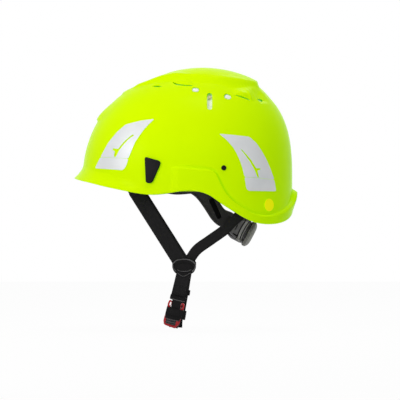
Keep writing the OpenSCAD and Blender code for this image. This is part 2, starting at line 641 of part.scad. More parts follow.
// Room for a strap from a to b, with more before a and after b
module web_pocket(a, b, w, before, after) {
    l = norm(b - a);
    down_path(a, b) translate([-web_t / 2 - web_gap, -w / 2 - web_gap, -l - after])
        cube([web_t + 2 * web_gap, w + 2 * web_gap, l + before + after]);
}
anchor_h = 13;
anchor_t = 4.4;
rivet_up = anchor_h / 2 - 3.4;
rivet_r = 1.6;
rivet_head_r = 2.8;
rivet_stand = 0.8;
module strap_tab(path, w) {
    difference() {
        down_path(path[0], path[1]) translate([-anchor_t / 2, -w / 2 - 2, -anchor_h / 2])
            cube([anchor_t, w + 4, anchor_h]);
        web_pocket(path[0], path[1], w, web_gap, 0);
        down_path(path[0], path[1]) translate([-anchor_t, 0, rivet_up]) rotate([0, 90, 0])
            cylinder(r = rivet_r + run_gap, h = 2 * anchor_t, $fn = 32);
    }
}
// Room in the foam for a strap anchor and its rivet
module tab_recess(path, w) {
    down_path(path[0], path[1]) translate([-anchor_t / 2 - 20, -w / 2 - 3, -anchor_h - 20])
        cube([anchor_t + 20 + rivet_stand + fit_gap, w + 6, 1.5 * anchor_h + 21]);
}
module strap_anchors() {
    color([0.12, 0.12, 0.13]) both_sides() {
        strap_tab(front_path, web_w);
        strap_tab(rear_path, rear_web_w);
    }
}
module tab_rivet(path) {
    down_path(path[0], path[1]) translate([-anchor_t / 2 - rivet_stand, 0, rivet_up]) rotate([0, 90, 0]) {
        cylinder(r = rivet_r, h = anchor_t + 2 * rivet_stand, $fn = 32);
        cylinder(r = rivet_head_r, h = rivet_stand - 0.1, $fn = 32);
        translate([0, 0, anchor_t + rivet_stand + 0.1])
            cylinder(r = rivet_head_r, h = rivet_stand - 0.1, $fn = 32);
    }
}
module anchor_rivets() {
    color("silver") both_sides() {
        tab_rivet(front_path);
        tab_rivet(rear_path);
    }
}

divider_h = 17;
module divider(lower) {
    outline = [[-divider_w / 2, 3.5], [-divider_w / 2 + 5, divider_h / 2 + 0.5],
        [divider_w / 2 - 5, divider_h / 2 + 0.5],
        [divider_w / 2, 3.5], [divider_w / 2, -2.5], [web_w / 2 + 1.5, -divider_h / 2 - 1],
        [-web_w / 2 - 1.5, -divider_h / 2 - 1], [-divider_w / 2, -2.5]];
    color([0.1, 0.1, 0.11]) difference() {
        translate(divider_at - [divider_t / 2, 0, 0]) rotate([90, 0, 90])
        linear_extrude(divider_t) difference() {
            polygon(soft(outline, 4));
            for (s = [-1, 1]) {
                translate([s * (divider_w / 2 - 2.6), 1.5]) circle(r = 0.9, $fn = 24);
            }
        }
        web_pocket(front_path[0], front_path[1], web_w, 0, web_gap);
        web_pocket(rear_path[5], rear_path[6], rear_web_w, 0, web_gap);
        web_pocket(lower[0], lower[1], web_w, web_gap, 0);
    }
}
module divider_left() { divider(lower_path); }
module divider_right() {
    mirror([1, 0, 0]) divider([for (p = right_lower_path) [-p[0], p[1], p[2]]]);
}

// Buckle: its own frame runs down -z from the ladder bar; x is outwards, y is along the jaw
buckle_c = [strap_x - 2.5, -8.8, -167.7];
buckle_tip = 14;
buckle_lean = 7;
module in_buckle() {
    translate(buckle_c) rotate([-buckle_tip, 0, 0]) rotate([0, buckle_lean, 0]) children();
}
// Extrudes an outline drawn in y and z, centred across x
module across_buckle(t) {
    rotate([90, 0, 90]) linear_extrude(t, center = true) children();
}
neck_half = 5;
prong_in = 6.6;
prong_w = 2.2;
channel_in = neck_half + 0.3;
channel_out = prong_in + prong_w + 0.4;
catch_z = -13;
socket_end = -24;
catch_step = 1.1;
module buckle_female() {
    color([0.1, 0.1, 0.11]) in_buckle() difference() {
        union() {
            across_buckle(5) polygon(soft([[-9.9, 3.6], [9.9, 3.6], [9.9, -3], [-9.9, -3]], 1.8));
            across_buckle(5)
                polygon([[-neck_half, 0], [neck_half, 0], [neck_half, catch_z - 2], [-neck_half, catch_z - 2]]);
            across_buckle(buckle_t) polygon(soft([[-buckle_w / 2, catch_z], [buckle_w / 2, catch_z],
                [buckle_w / 2, socket_end], [-buckle_w / 2, socket_end]], 1));
        }
        for (s = [-1, 1]) {
            translate([-prong_t / 2 - 0.3, s > 0 ? channel_in : -channel_out, socket_end - 1])
                cube([prong_t + 0.6, channel_out - channel_in, 20]);
        }
    }
}
frame_top = socket_end - 0.4;
frame_end = -39;
frame_w = buckle_w + 0.7;
window_w = 14.5;
module buckle_male() {
    color([0.8, 0.12, 0.16]) in_buckle() across_buckle(5) difference() {
        polygon(soft([[-frame_w / 2, frame_top], [frame_w / 2, frame_top], [frame_w / 2 - 0.5, frame_end + 2],
            [frame_w / 2 - 3, frame_end], [-frame_w / 2 + 3, frame_end],
            [-frame_w / 2 + 0.5, frame_end + 2]], 1.5));
        polygon(soft([[-window_w / 2, frame_top - 3.6], [window_w / 2, frame_top - 3.6],
            [window_w / 2, frame_end + 3.8], [-window_w / 2, frame_end + 3.8]], 1));
        for (s = [-1, 1]) {
            polygon([for (p = [[prong_in - 0.5, 1], [prong_in + prong_w + 0.5, 1],
                [prong_in + prong_w + 0.5, -2],
                [prong_in - 0.5, -2]]) [s * p[0], p[1] + frame_top]]);
        }
    }
}
prong_root = frame_top - 1.7;
prong_tip_z = -4.8;
module prong(s) {
    inner = prong_in;
    outer = prong_in + prong_w;
    shape = [[inner, prong_root], [outer, prong_root], [outer, catch_z + 0.3],
        [outer + catch_step, catch_z + 0.3],
        [outer + catch_step + 0.2, catch_z + 5], [outer + 0.4, prong_tip_z], [inner + 0.6, prong_tip_z],
        [inner + 0.2, catch_z + 1]];
    color([0.8, 0.12, 0.16]) in_buckle() across_buckle(prong_t) difference() {
        polygon([for (p = shape) [s * p[0], p[1]]]);
        translate([s * (inner + outer) / 2, prong_root + 1.2]) circle(r = 0.5, $fn = 24);
    }
}
module prong_front() { prong(-1); }
module prong_back() { prong(1); }

// The chin webbing, from behind the male frame round under the chin to the right adjuster
chin_path = [for (p = [[-10.6, -15.7, -196.4], [-12, -17, -200.6], [-16.5, -17.8, -202.3], [-24, -17.9, -202.8],
    [-44.5, -17.9, -203], [-69.5, -17.9, -203], [-94.5, -17.8, -203], [-115.5, -17, -202.7],
    [-124.5, -16.3, -201.6], [-128.5, -15.2, -199.3], [-130.5, -13.6, -194.5]]) p + [strap_x, 0, 0]];
chin_tilt = 20;
module chin_strap() {
    color([0.14, 0.13, 0.14]) webbing(chin_path, web_w, web_t, [0, cos(chin_tilt), -sin(chin_tilt)]);
}

adjuster_h = 12;
module chin_adjuster() {
    a = right_lower_path[2];
    color([0.1, 0.1, 0.11]) difference() {
        down_path(right_lower_path[1], a)
            translate([-2.4, -web_w / 2 - 1.8, -norm(a - right_lower_path[1]) - adjuster_h + 3])
            cube([4.8, web_w + 3.6, adjuster_h]);
        web_pocket(right_lower_path[1], a, web_w, 0, web_gap);
    }
}
tail_path = [[-0.7 - strap_x, -10.8, -187.5], [0.6 - strap_x, -11.9, -199], [2.5 - strap_x, -12.2, -204.5],
    [3.5 - strap_x, -12.4, -208.5]];
module strap_tail() { color([0.14, 0.13, 0.14]) webbing(tail_path, web_w * 0.9, web_t); }
keeper_h = 7;
module strap_keeper() {
    a = mix(right_lower_path[0], right_lower_path[1], 0.95);
    color([0.1, 0.1, 0.11]) down_path(a, right_lower_path[1]) difference() {
        translate([-2.6, -web_w / 2 - 2, -keeper_h / 2]) cube([5.2, web_w + 4, keeper_h]);
        translate([-web_t / 2 - fit_gap, -web_w / 2 - fit_gap, -keeper_h])
            cube([web_t + 2 * fit_gap, web_w + 2 * fit_gap, 2 * keeper_h]);
    }
}

outer_shell();
eps_liner();
ear_slot_left();
ear_slot_right();
side_plug_left();
side_plug_right();
reflector_front_left();
reflector_front_right();
reflector_rear_left();
reflector_rear_right();
round_label();
shell_plugs();
lamp_hooks();
slip_liner();
slip_anchors();
crown_pad();
side_pads();
brow_band();
brow_pad();
temple_pins();
arm_left();
arm_right();
nape_housing();
nape_cover();
nape_pad();
pinion();
dial_screw();
dial_knob();
click_ring();
rack_left();
rack_right();
strap_anchors();
anchor_rivets();
strap_front_left();
strap_front_right();
strap_rear_left();
strap_rear_right();
strap_lower_left();
strap_lower_right();
divider_left();
divider_right();
buckle_female();
buckle_male();
prong_front();
prong_back();
chin_strap();
chin_adjuster();
strap_tail();
strap_keeper();
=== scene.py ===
import math
import bmesh
import bpy
from mathutils import Matrix, Vector


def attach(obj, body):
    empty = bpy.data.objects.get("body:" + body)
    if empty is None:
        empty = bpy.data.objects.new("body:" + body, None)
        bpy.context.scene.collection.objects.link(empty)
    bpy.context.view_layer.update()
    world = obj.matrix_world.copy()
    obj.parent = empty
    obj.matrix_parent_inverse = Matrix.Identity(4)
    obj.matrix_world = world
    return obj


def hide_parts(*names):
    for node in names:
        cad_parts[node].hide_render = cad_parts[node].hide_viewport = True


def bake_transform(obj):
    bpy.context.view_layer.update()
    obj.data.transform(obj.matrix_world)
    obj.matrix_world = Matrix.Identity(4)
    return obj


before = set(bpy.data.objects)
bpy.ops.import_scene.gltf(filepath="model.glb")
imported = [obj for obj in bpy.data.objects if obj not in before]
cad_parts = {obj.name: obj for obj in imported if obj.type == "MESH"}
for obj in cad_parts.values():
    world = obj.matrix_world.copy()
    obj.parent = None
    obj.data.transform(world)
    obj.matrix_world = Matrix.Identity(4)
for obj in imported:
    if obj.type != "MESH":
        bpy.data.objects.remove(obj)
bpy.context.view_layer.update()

# ---- Studio: floor, backdrop, lamps and camera ----
# A pale floor just under the lowest strap end and a white sweep of light behind it.
# The helmet hangs level, as on a stand, and is looked at square to its left side from far off.
MM = 0.001
FLOOR_Z = -210.5 * MM


def new_material(name):
    """A node material and its parts: (material, node maker, link maker, shader)."""
    mat = bpy.data.materials.new(name)
    mat.use_nodes = True
    tree = mat.node_tree
    return mat, tree.nodes.new, tree.links.new, tree.nodes["Principled BSDF"]


floor_mesh = bmesh.new()
bmesh.ops.create_grid(floor_mesh, x_segments=1, y_segments=1, size=3.0)
bmesh.ops.translate(floor_mesh, vec=(0, 0, FLOOR_Z), verts=floor_mesh.verts)
floor_data = bpy.data.meshes.new("floor")
floor_mesh.to_mesh(floor_data)
floor_mesh.free()
floor = bpy.data.objects.new("floor", floor_data)
bpy.context.collection.objects.link(floor)
floor_mat = bpy.data.materials.new("studio_floor")
floor_mat.use_nodes = True
nodes, links = floor_mat.node_tree.nodes, floor_mat.node_tree.links
nodes.clear()
floor_out = nodes.new("ShaderNodeOutputMaterial")
floor_mix = nodes.new("ShaderNodeMixShader")
floor_diffuse = nodes.new("ShaderNodeBsdfDiffuse")
floor_diffuse.inputs["Color"].default_value = (0.86, 0.86, 0.86, 1)
floor_glow = nodes.new("ShaderNodeEmission")
floor_glow.inputs["Color"].default_value = (1, 1, 1, 1)
floor_path = nodes.new("ShaderNodeLightPath")
floor_seen = nodes.new("ShaderNodeMath")
floor_seen.operation = "MAXIMUM"
floor_share = nodes.new("ShaderNodeMath")
floor_share.operation = "MULTIPLY"
floor_share.inputs[1].default_value = 0.965
links.new(floor_path.outputs["Is Camera Ray"], floor_seen.inputs[0])
links.new(floor_path.outputs["Is Glossy Ray"], floor_seen.inputs[1])
links.new(floor_seen.outputs[0], floor_share.inputs[0])
links.new(floor_share.outputs[0], floor_mix.inputs["Fac"])
links.new(floor_diffuse.outputs[0], floor_mix.inputs[1])
links.new(floor_glow.outputs[0], floor_mix.inputs[2])
links.new(floor_mix.outputs[0], floor_out.inputs["Surface"])
floor_data.materials.append(floor_mat)

world = bpy.data.worlds.new("studio")
bpy.context.scene.world = world
world.use_nodes = True
nodes, links = world.node_tree.nodes, world.node_tree.links
sky = nodes["Background"]
sky.inputs["Color"].default_value = (1, 1, 1, 1)
sky_path = nodes.new("ShaderNodeLightPath")
sky_seen = nodes.new("ShaderNodeMath")
sky_seen.operation = "MAXIMUM"
sky_clear = nodes.new("ShaderNodeMath")
sky_clear.operation = "MAXIMUM"
sky_strength = nodes.new("ShaderNodeMapRange")
sky_strength.inputs["To Min"].default_value = 0.4
sky_strength.inputs["To Max"].default_value = 1.0
links.new(sky_path.outputs["Is Camera Ray"], sky_seen.inputs[0])
links.new(sky_path.outputs["Is Glossy Ray"], sky_seen.inputs[1])
links.new(sky_seen.outputs[0], sky_clear.inputs[0])
links.new(sky_path.outputs["Is Transmission Ray"], sky_clear.inputs[1])
links.new(sky_clear.outputs[0], sky_strength.inputs["Value"])
links.new(sky_strength.outputs["Result"], sky.inputs["Strength"])


def softbox(name, place, target, size, watts):
    lamp = bpy.data.lights.new(name, "AREA")
    lamp.shape = "RECTANGLE"
    lamp.size, lamp.size_y = size
    lamp.energy = watts
    holder = bpy.data.objects.new(name, lamp)
    bpy.context.collection.objects.link(holder)
    holder.location = place
    holder.rotation_euler = (Vector(target) - Vector(place)).to_track_quat("-Z", "Y").to_euler()


softbox("key_lamp", (1.3, -1.3, 0.7), (0, 0, 0), (0.5, 0.5), 10.5)
softbox("low_lamp", (1.5, -0.7, -0.1), (0, 0, -0.03), (0.8, 0.4), 3.2)
softbox("top_lamp", (0.36, 0.12, 1.15), (0, 0, 0), (0.35, 0.5), 4.4)
softbox("back_lamp", (-0.9, 0.5, 1.1), (0, 0, 0), (0.5, 0.5), 2.4)

lens = bpy.data.cameras.new("camera")
lens.sensor_width = 36
lens.lens = 36 / (2 * 0.05088)
lens.clip_end = 50
camera = bpy.data.objects.new("camera", lens)
bpy.context.collection.objects.link(camera)
camera.location = (5.0, 0.019, -0.0445)
camera.rotation_euler = (math.radians(90), 0, math.radians(90))
bpy.context.scene.camera = camera
bpy.context.scene.view_settings.view_transform = "Standard"

# ---- Outer shell ----
# One injection-moulded ABS shell in fluorescent yellow-green, 3 mm thick and glossy from the tool.
# A raised crest runs over the crown, a brim flares at the front and a lip at the nape; a sharp ledge
# follows the rim from the ears back. Hooded vents are cut along the foot of the crest.
HALF_W, FRONT, BACK, DOME_H = 109.0, 130.3, 136.3, 135.0
WIDE_Z = -20.0
SHELL_T = 3.0
RIM = [(0, -17), (24.6, -21.6), (44.5, -30), (58, -35.6), (67.4, -37.9), (76.8, -36.6), (91.6, -33),
       (100, -34.5), (106.3, -39.2), (112.6, -47.7), (120, -57.1), (128.3, -67.2), (136.6, -73.5),
       (148, -74.8), (160.5, -71), (172, -64), (180, -60)]
LEDGE = [(0, -6), (55, -9), (83, -3.9), (95.8, -5.5), (106.3, -7.6), (110, -11.3), (112.1, -20.8),
         (115.8, -34.5), (121, -45.6), (128.3, -55.5), (135.6, -62.3), (142.8, -63.7), (152.1, -60.5),
         (160.5, -54.2), (170, -45), (175, -34.9), (180, -31)]
CREST_W, CREST_H, SHOULDER_H = 115.0, 9.1, 4.0
# Front to rear along y: share of the crest's half width, then share of its height
CREST_PLAN = [(-80, 0.24), (-66, 0.45), (-57, 0.55), (-44, 0.645), (-28, 0.705), (-15, 0.765), (4, 0.885),
              (23, 0.975), (40, 1), (59, 0.95), (76, 0.785), (88, 0.575), (94, 0.45)]
CREST_RISE = [(-92, 0), (-76, -0.08), (-54, -0.12), (-40, 0.02), (-30, 0.2), (-15, 0.54), (6, 0.86), (24, 1),
              (45, 1), (70, 0.935), (92, 0.957)]
CREST_END = 91.6
EAR_STEP, LIP_OUT, PEAK_OUT = 2.5, 6.6, 11.2


def mix(a, b, t):
    return a + (b - a) * t


def clamp01(t):
    return min(1.0, max(0.0, t))


def smooth(lo, hi, v):
    t = clamp01((v - lo) / (hi - lo))
    return t * t * (3 - 2 * t)


def curve(points, u):
    """A smooth line through (u, value) points, level at both ends."""
    last = len(points) - 1
    i = 0
    while i < last - 1 and u >= points[i + 1][0]:
        i += 1

    def slope(k):
        if k in (0, last):
            return 0.0
        return (points[k + 1][1] - points[k - 1][1]) / (points[k + 1][0] - points[k - 1][0])

    h = points[i + 1][0] - points[i][0]
    t = clamp01((u - points[i][0]) / h)
    return (points[i][1] * (1 + 2 * t) * (1 - t) ** 2 + slope(i) * h * t * (1 - t) ** 2
            + points[i + 1][1] * t * t * (3 - 2 * t) + slope(i + 1) * h * t * t * (t - 1))


def fold(az):
    """Degrees from the front, the same on both sides."""
    return math.degrees(math.acos(max(-1.0, min(1.0, math.cos(math.radians(az))))))


def plan_r(az, depth):
    c, s = math.cos(math.radians(az)), math.sin(math.radians(az))
    reach = (FRONT if c > 0 else BACK) - depth
    return ((abs(c) / reach) ** 2.2 + (abs(s) / (HALF_W - depth)) ** 2.2) ** (-1 / 2.2)


def dome_p(az):
    return 2.13 + (2.86 - 2.13) * ((1 - math.cos(math.radians(az))) / 2) ** 3


def dome_pt(az, el, depth):
    a, e = math.radians(az), math.radians(el)
    flat = plan_r(az, depth)
    if el <= 0:
        r = flat / math.cos(e)
    else:
        p = dome_p(az)
        r = ((math.cos(e) / flat) ** p + (math.sin(e) / (DOME_H - depth)) ** p) ** (-1 / p)
    return Vector((math.sin(a) * math.cos(e) * r, -math.cos(a) * math.cos(e) * r, WIDE_Z + math.sin(e) * r))


def el_of(az, z, depth):
    """Elevation of a height on the wall, seen from the dome's centre, below its widest line."""
    return math.degrees(math.atan2(z - WIDE_Z, plan_r(az, depth)))


def el_at_height(az, z, depth):
    """Elevation of any height on the wall."""
    if z <= WIDE_Z:
        return el_of(az, z, depth)
    p = dome_p(az)
    lift = (z - WIDE_Z) / (DOME_H - depth)
    flat = plan_r(az, depth) * (1 - lift ** p) ** (1 / p)
    return math.degrees(math.atan2(z - WIDE_Z, flat))


def crest_lift(p):
    """The crest's flat top, its steep side walls, its end wall and its raised front shoulders."""
    across = abs(p.x) / (CREST_W / 2 * curve(CREST_PLAN, min(94, max(-80, p.y))))
    end = 1 - smooth(CREST_END, CREST_END + 2.6, p.y)
    rear = smooth(48, 72, p.y)
    facet = 1 - 0.55 * smooth(0.84, 0.97, across) - 0.45 * smooth(0.965, 0.99, across)
    wall = mix(1 - smooth(0.9, 0.99, across), facet, rear)
    shelf = 3.4 * smooth(56, 88, p.y) * (1 - smooth(90, 112, p.y)) * (1 - smooth(1.0, 1.7, across))
    shoulder = SHOULDER_H * smooth(-72, -58, p.y) * (1 - smooth(-32, 4, p.y)) * smooth(0.45, 0.85, across)
    lift = (CREST_H * curve(CREST_RISE, max(-92, p.y)) + shoulder) * end * wall
    return max(lift, min(shelf, CREST_H * 0.45)) if across > 0.95 else max(lift, shelf)


def rim_out(az, z):
    """How far the ledge, the nape lip and the brim stand out of the dome."""
    a = fold(az)
    above = z - curve(RIM, a)
    out = PEAK_OUT * (1 - clamp01(above / 17)) ** 1.7 * (1 - smooth(15, 80, a))
    if a > 80:
        out += (mix(EAR_STEP, LIP_OUT, smooth(146, 176, a)) * smooth(80, 86, a)
                * (1 - smooth(-0.7 - 3.2 * smooth(132, 158, a), 0.7 + 1.2 * smooth(132, 158, a),
                              z - curve(LEDGE, a)))
                * mix(1, smooth(-3, 24, above), smooth(135, 165, a)))
        out -= 1.0 * math.exp(-((z - curve(LEDGE, a) - 1.5) / 1.3) ** 2) * smooth(86, 98, a)
    return out


# Hooded vents in the side view: middle, length, drop of its line to the rear, height of the hood
HOODS = [(-4.0, 102.4, 27, 4.6, 2.2), (-35.0, 99.6, 15, 0.6, 0.9), (72.5, 85.6, 22, 7.2, 2.8)]


def hood_lift(p):
    """Hoods swell over the vents and end sharply at their lines.

    Two low scoops face forwards, and a rib parts the rear vents, the last of which is sunk behind it.
    """
    lift = 0.0
    if p.y < -60 and abs(p.x) < 34:
        middle = 1 - smooth(12, 34, abs(p.x))
        lift = middle * (2.6 * smooth(54.6, 57.0, p.z) * (1 - smooth(60, 82, p.z))
                         + 1.1 * smooth(89.4, 91.0, p.z) * (1 - smooth(92, 100, p.z)))
    if p.z < 60 or abs(p.x) < 20:
        return lift
    side = smooth(20, 34, abs(p.x))
    for y, z, length, drop, height in HOODS:
        along = (p.y - y) / length
        if abs(along) < 0.5:
            up = p.z - (z - drop * along)
            shape = math.cos(math.pi * along) ** 0.6
            lift = max(lift, height * shape * smooth(-0.5, 0.3, up) * (1 - smooth(1.0, 9, up)) * side)
    if p.y > 70:
        rise = (91.5 - p.z) / 9.5
        rib = p.y - mix(77.0, 83.0, rise)
        if -0.2 < rise < 1.2:
            lift += (1.9 * math.exp(-(rib / 1.5) ** 2) * smooth(-0.2, 0.15, rise)
                     * (1 - smooth(0.9, 1.2, rise)) * side)
        sunk = p.y - mix(84.0, 91.5, rise)
        if -0.3 < rise < 1.5:
            lift -= (1.7 * smooth(0, 1.6, sunk) * (1 - smooth(7, 15, sunk)) * smooth(-0.3, 0.3, rise)
                     * (1 - smooth(1.1, 1.5, rise)) * side)
    return lift


def shell_pt(az, el, depth):
    p = dome_pt(az, el, depth)
    a = math.radians(az)
    out = rim_out(az, p.z)
    hood = hood_lift(p) if depth < 1 else 0
    n = p - Vector((0, 0, WIDE_Z))
    n.normalize()
    return Vector((p.x + math.sin(a) * out, p.y - math.cos(a) * out, p.z + crest_lift(p))) + n * hood


def grid_solid(name, cols, rows, place, uv_scale=None, ring=False):
    """A grid of quads bent by place(u, v) and closed where its edges meet; sizes in mm.

    With ring, the last row is joined to the first, so that only the two ends are left to close.
    """
    bm = bmesh.new()
    bmesh.ops.create_grid(bm, x_segments=cols, y_segments=rows, size=0.5)
    if uv_scale:
        layer = bm.loops.layers.uv.new("surface")
        for face in bm.faces:
            for loop in face.loops:
                loop[layer].uv = ((loop.vert.co.x + 0.5) * uv_scale[0], (loop.vert.co.y + 0.5) * uv_scale[1])
    for vert in bm.verts:
        u, v = vert.co.x + 0.5, vert.co.y + 0.5
        vert.co = place(u, 0.0 if ring and v > 0.9999 else v) * MM
    bmesh.ops.remove_doubles(bm, verts=bm.verts, dist=1e-6)
    holes = [e for e in bm.edges if e.is_boundary]
    if holes:
        bmesh.ops.holes_fill(bm, edges=holes, sides=0)
    bmesh.ops.recalc_face_normals(bm, faces=bm.faces)
    return finished(bm, name)


def finished(bm, name, smooth_shading=True):
    """Turns a bmesh into a linked object at the origin."""
    for face in bm.faces:
        face.smooth = smooth_shading
    mesh = bpy.data.meshes.new(name)
    bm.to_mesh(mesh)
    bm.free()
    obj = bpy.data.objects.new(name, mesh)
    bpy.context.collection.objects.link(obj)
    return obj


def shell_rows(top_rows, low_rows, edge_rows, inner_rows):
    """Rows from the outer crown down to the rim, round its edge and up to the inner crown."""
    rows = [("dome", k / top_rows) for k in range(top_rows + 1)]
    rows += [("ledge", s) for s in (0.3, -0.3, -0.9)]
    rows += [("low", k / low_rows) for k in range(1, low_rows + 1)]
    rows += [("edge", k / edge_rows) for k in range(1, edge_rows)]
    rows += [("inner", k / inner_rows) for k in range(inner_rows + 1)]
    return rows


def shell_place(u, v, rows):
    kind, t = rows[round(v * (len(rows) - 1))]
    az = 360 * u
    a = fold(az)
    rim, ledge = curve(RIM, a), curve(LEDGE, a)
    if kind == "dome":
        top = el_at_height(az, ledge + 0.9, 0)
        return shell_pt(az, mix(90, top, t), 0)
    if kind == "ledge":
        return shell_pt(az, el_at_height(az, ledge + t, 0), 0)
    if kind == "low":
        return shell_pt(az, el_at_height(az, mix(ledge - 0.9, rim + 0.9, t), 0), 0)
    if kind == "edge":
        turn = math.pi * t
        depth = SHELL_T / 2 * (1 - math.cos(turn))
        return shell_pt(az, el_at_height(az, rim + 0.9 - 0.9 * math.sin(turn), depth), depth)
    return shell_pt(az, mix(el_at_height(az, rim + 0.9, SHELL_T), 90, t), SHELL_T)


SHELL_ROWS = shell_rows(118, 20, 6, 30)
shell = grid_solid("outer_shell", 400, len(SHELL_ROWS) - 1, lambda u, v: shell_place(u, v, SHELL_ROWS))


def settle(obj):
    """Applies the object's modifiers to its mesh."""
    depsgraph = bpy.context.evaluated_depsgraph_get()
    done = bpy.data.meshes.new_from_object(obj.evaluated_get(depsgraph))
    obj.modifiers.clear()
    obj.data = done


def cut(obj, *cutters, how="DIFFERENCE"):
    """Cuts an object with others, which are used up."""
    for cutter in cutters:
        step = obj.modifiers.new("cut", "BOOLEAN")
        step.operation = how
        step.solver = "EXACT"
        step.object = cutter
    bpy.context.view_layer.update()
    settle(obj)
    for cutter in cutters:
        bpy.data.objects.remove(cutter)


def prism(name, outline, x0, x1):
    """An outline of (y, z) in mm, pulled out along x."""
    bm = bmesh.new()
    face = bm.faces.new([bm.verts.new((x0 * MM, y * MM, z * MM)) for y, z in outline])
    pulled = bmesh.ops.extrude_face_region(bm, geom=[face])
    bmesh.ops.translate(bm, vec=((x1 - x0) * MM, 0, 0),
                        verts=[v for v in pulled["geom"] if isinstance(v, bmesh.types.BMVert)])
    bmesh.ops.recalc_face_normals(bm, faces=bm.faces)
    return finished(bm, name, False)


def rounded(points, radius, steps=4):
    """An outline with its corners rounded."""
    out = []
    for i, p in enumerate(points):
        p = Vector(p)
        before, after = Vector(points[i - 1]) - p, Vector(points[(i + 1) % len(points)]) - p
        start = p + before.normalized() * min(radius, before.length * 0.48)
        end = p + after.normalized() * min(radius, after.length * 0.48)
        for k in range(steps + 1):
            t = k / steps
            out.append(tuple(start * (1 - t) ** 2 + p * 2 * t * (1 - t) + end * t * t))
    return out


def round_slot(a, b, width, steps=8):
    """A round-ended slot between two centres."""
    a, b = Vector(a), Vector(b)
    turn = math.atan2((b - a).y, (b - a).x)
    points = []
    for centre, start in ((b, turn - math.pi / 2), (a, turn + math.pi / 2)):
        for k in range(steps + 1):
            t = start + math.pi * k / steps
            points.append(tuple(centre + Vector((math.cos(t), math.sin(t))) * width / 2))
    return points


# Openings in the side view, in mm: wedges under the hoods, two ovals and the tall lamp slot
WEDGES = [[(-15.6, 104.0), (-12.8, 101.2), (-8, 99.9), (1, 99.2), (9.2, 98.9), (9.4, 99.5), (-2, 100.5),
           (-9, 101.4)],
          [(-41.6, 98.9), (-37.4, 98.3), (-34.2, 97.6), (-31.4, 98.2), (-28.4, 98.5),
           (-31.4, 99.1), (-34.2, 99.5),
           (-37.4, 99.2)],
          [(62.0, 87.4), (68.0, 85.4), (75.0, 83.0), (82.6, 80.0), (79.2, 82.6), (74.0, 84.6), (67.5, 86.6)],
          [(90.6, 82.6), (94.0, 79.8), (97.0, 79.2), (98.2, 81.0), (95.0, 82.6)]]
OVALS = [((11.6, 93.9), (15.2, 93.7), 5.6), ((52.4, 85.4), (55.2, 84.5), 6.4),
         ((31.1, 71.4), (31.1, 86.4), 6.2)]


def vent_cutters(sign):
    shapes = [rounded(w, 1.2, 3) for w in WEDGES] + [round_slot(*o) for o in OVALS]
    return [prism("vent", s, sign * 14, sign * 112) for s in shapes]


cut(shell, *vent_cutters(1), *vent_cutters(-1))
for poly in shell.data.polygons:
    poly.use_smooth = True


def noise(node, link, scale, detail=3.0, rough=0.5, stretch=None):
    """Noise on the piece's own coordinates; scale is per metre."""
    where = node("ShaderNodeTexCoord")
    texture = node("ShaderNodeTexNoise")
    texture.inputs["Scale"].default_value = scale
    texture.inputs["Detail"].default_value = detail
    texture.inputs["Roughness"].default_value = rough
    if stretch:
        place = node("ShaderNodeMapping")
        place.inputs["Scale"].default_value = stretch
        link(where.outputs["Object"], place.inputs["Vector"])
        link(place.outputs["Vector"], texture.inputs["Vector"])
    else:
        link(where.outputs["Object"], texture.inputs["Vector"])
    return texture.outputs["Fac"]


def ramp(node, link, value, stops):
    """Colours against a value: stops are (place, colour)."""
    colours = node("ShaderNodeValToRGB")
    band = colours.color_ramp
    while len(band.elements) < len(stops):
        band.elements.new(0.5)
    for element, (place, colour) in zip(band.elements, stops):
        element.position = place
        element.color = (*colour, 1)
    link(value, colours.inputs["Fac"])
    return colours.outputs["Color"]


def span(node, link, value, low, high):
    """A value spread from low to high."""
    spread = node("ShaderNodeMapRange")
    spread.inputs["To Min"].default_value = low
    spread.inputs["To Max"].default_value = high
    link(value, spread.inputs["Value"])
    return spread.outputs["Result"]


def bump(node, link, shader, height, distance, strength=1.0, under=None):
    """Bump of a real height in metres."""
    step = node("ShaderNodeBump")
    step.inputs["Distance"].default_value = distance
    step.inputs["Strength"].default_value = strength
    link(height, step.inputs["Height"])
    if under:
        link(under, step.inputs["Normal"])
    link(step.outputs["Normal"], shader.inputs["Normal"])
    return step.outputs["Normal"]


shell_mat, node, link, shader = new_material("fluorescent_abs")
tint = ramp(node, link, noise(node, link, 9, 2), [(0.3, (0.655, 0.695, 0.0)), (0.7, (0.685, 0.715, 0.0))])
link(tint, shader.inputs["Base Color"])
# The green emission stands in for the fluorescence and lifts the shaded side evenly: painted light.
glow = ramp(node, link, noise(node, link, 14, 2), [(0.3, (0.0, 0.255, 0.0)), (0.7, (0.0, 0.275, 0.0))])
link(glow, shader.inputs["Emission Color"])
shader.inputs["Emission Strength"].default_value = 1.0
link(span(node, link, noise(node, link, 260, 4), 0.2, 0.3), shader.inputs["Roughness"])
shader.inputs["Specular IOR Level"].default_value = 0.02
shader.inputs["Specular Tint"].default_value = (0.8, 1.0, 0.25, 1)
bump(node, link, shader, noise(node, link, 420, 2), 0.00003, 0.5)
shell.data.materials.clear()
shell.data.materials.append(shell_mat)
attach(shell, "helmet")
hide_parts("outer_shell")

# ---- Foam liner ----
# Expanded polystyrene, moulded in one piece and bonded inside the shell. Its fused beads show
# through the vents, behind the ovals and on the inside face.
FOAM_OUT, FOAM_IN = 3.3, 21.4
FOAM_LIFT, FOAM_EAR_RISE = 5.0, 7
SOCKET_Y, SOCKET_TOP = 11.0, -13.0


def block(name, low, high):
    """A box between two corners, in mm."""
    bm = bmesh.new()
    bmesh.ops.create_cube(bm, size=1.0)
    low, high = Vector(low), Vector(high)
    for vert in bm.verts:
        vert.co = Vector((low + high) / 2 + Vector(a * b for a, b in zip(vert.co, high - low))) * MM
    return finished(bm, name, False)


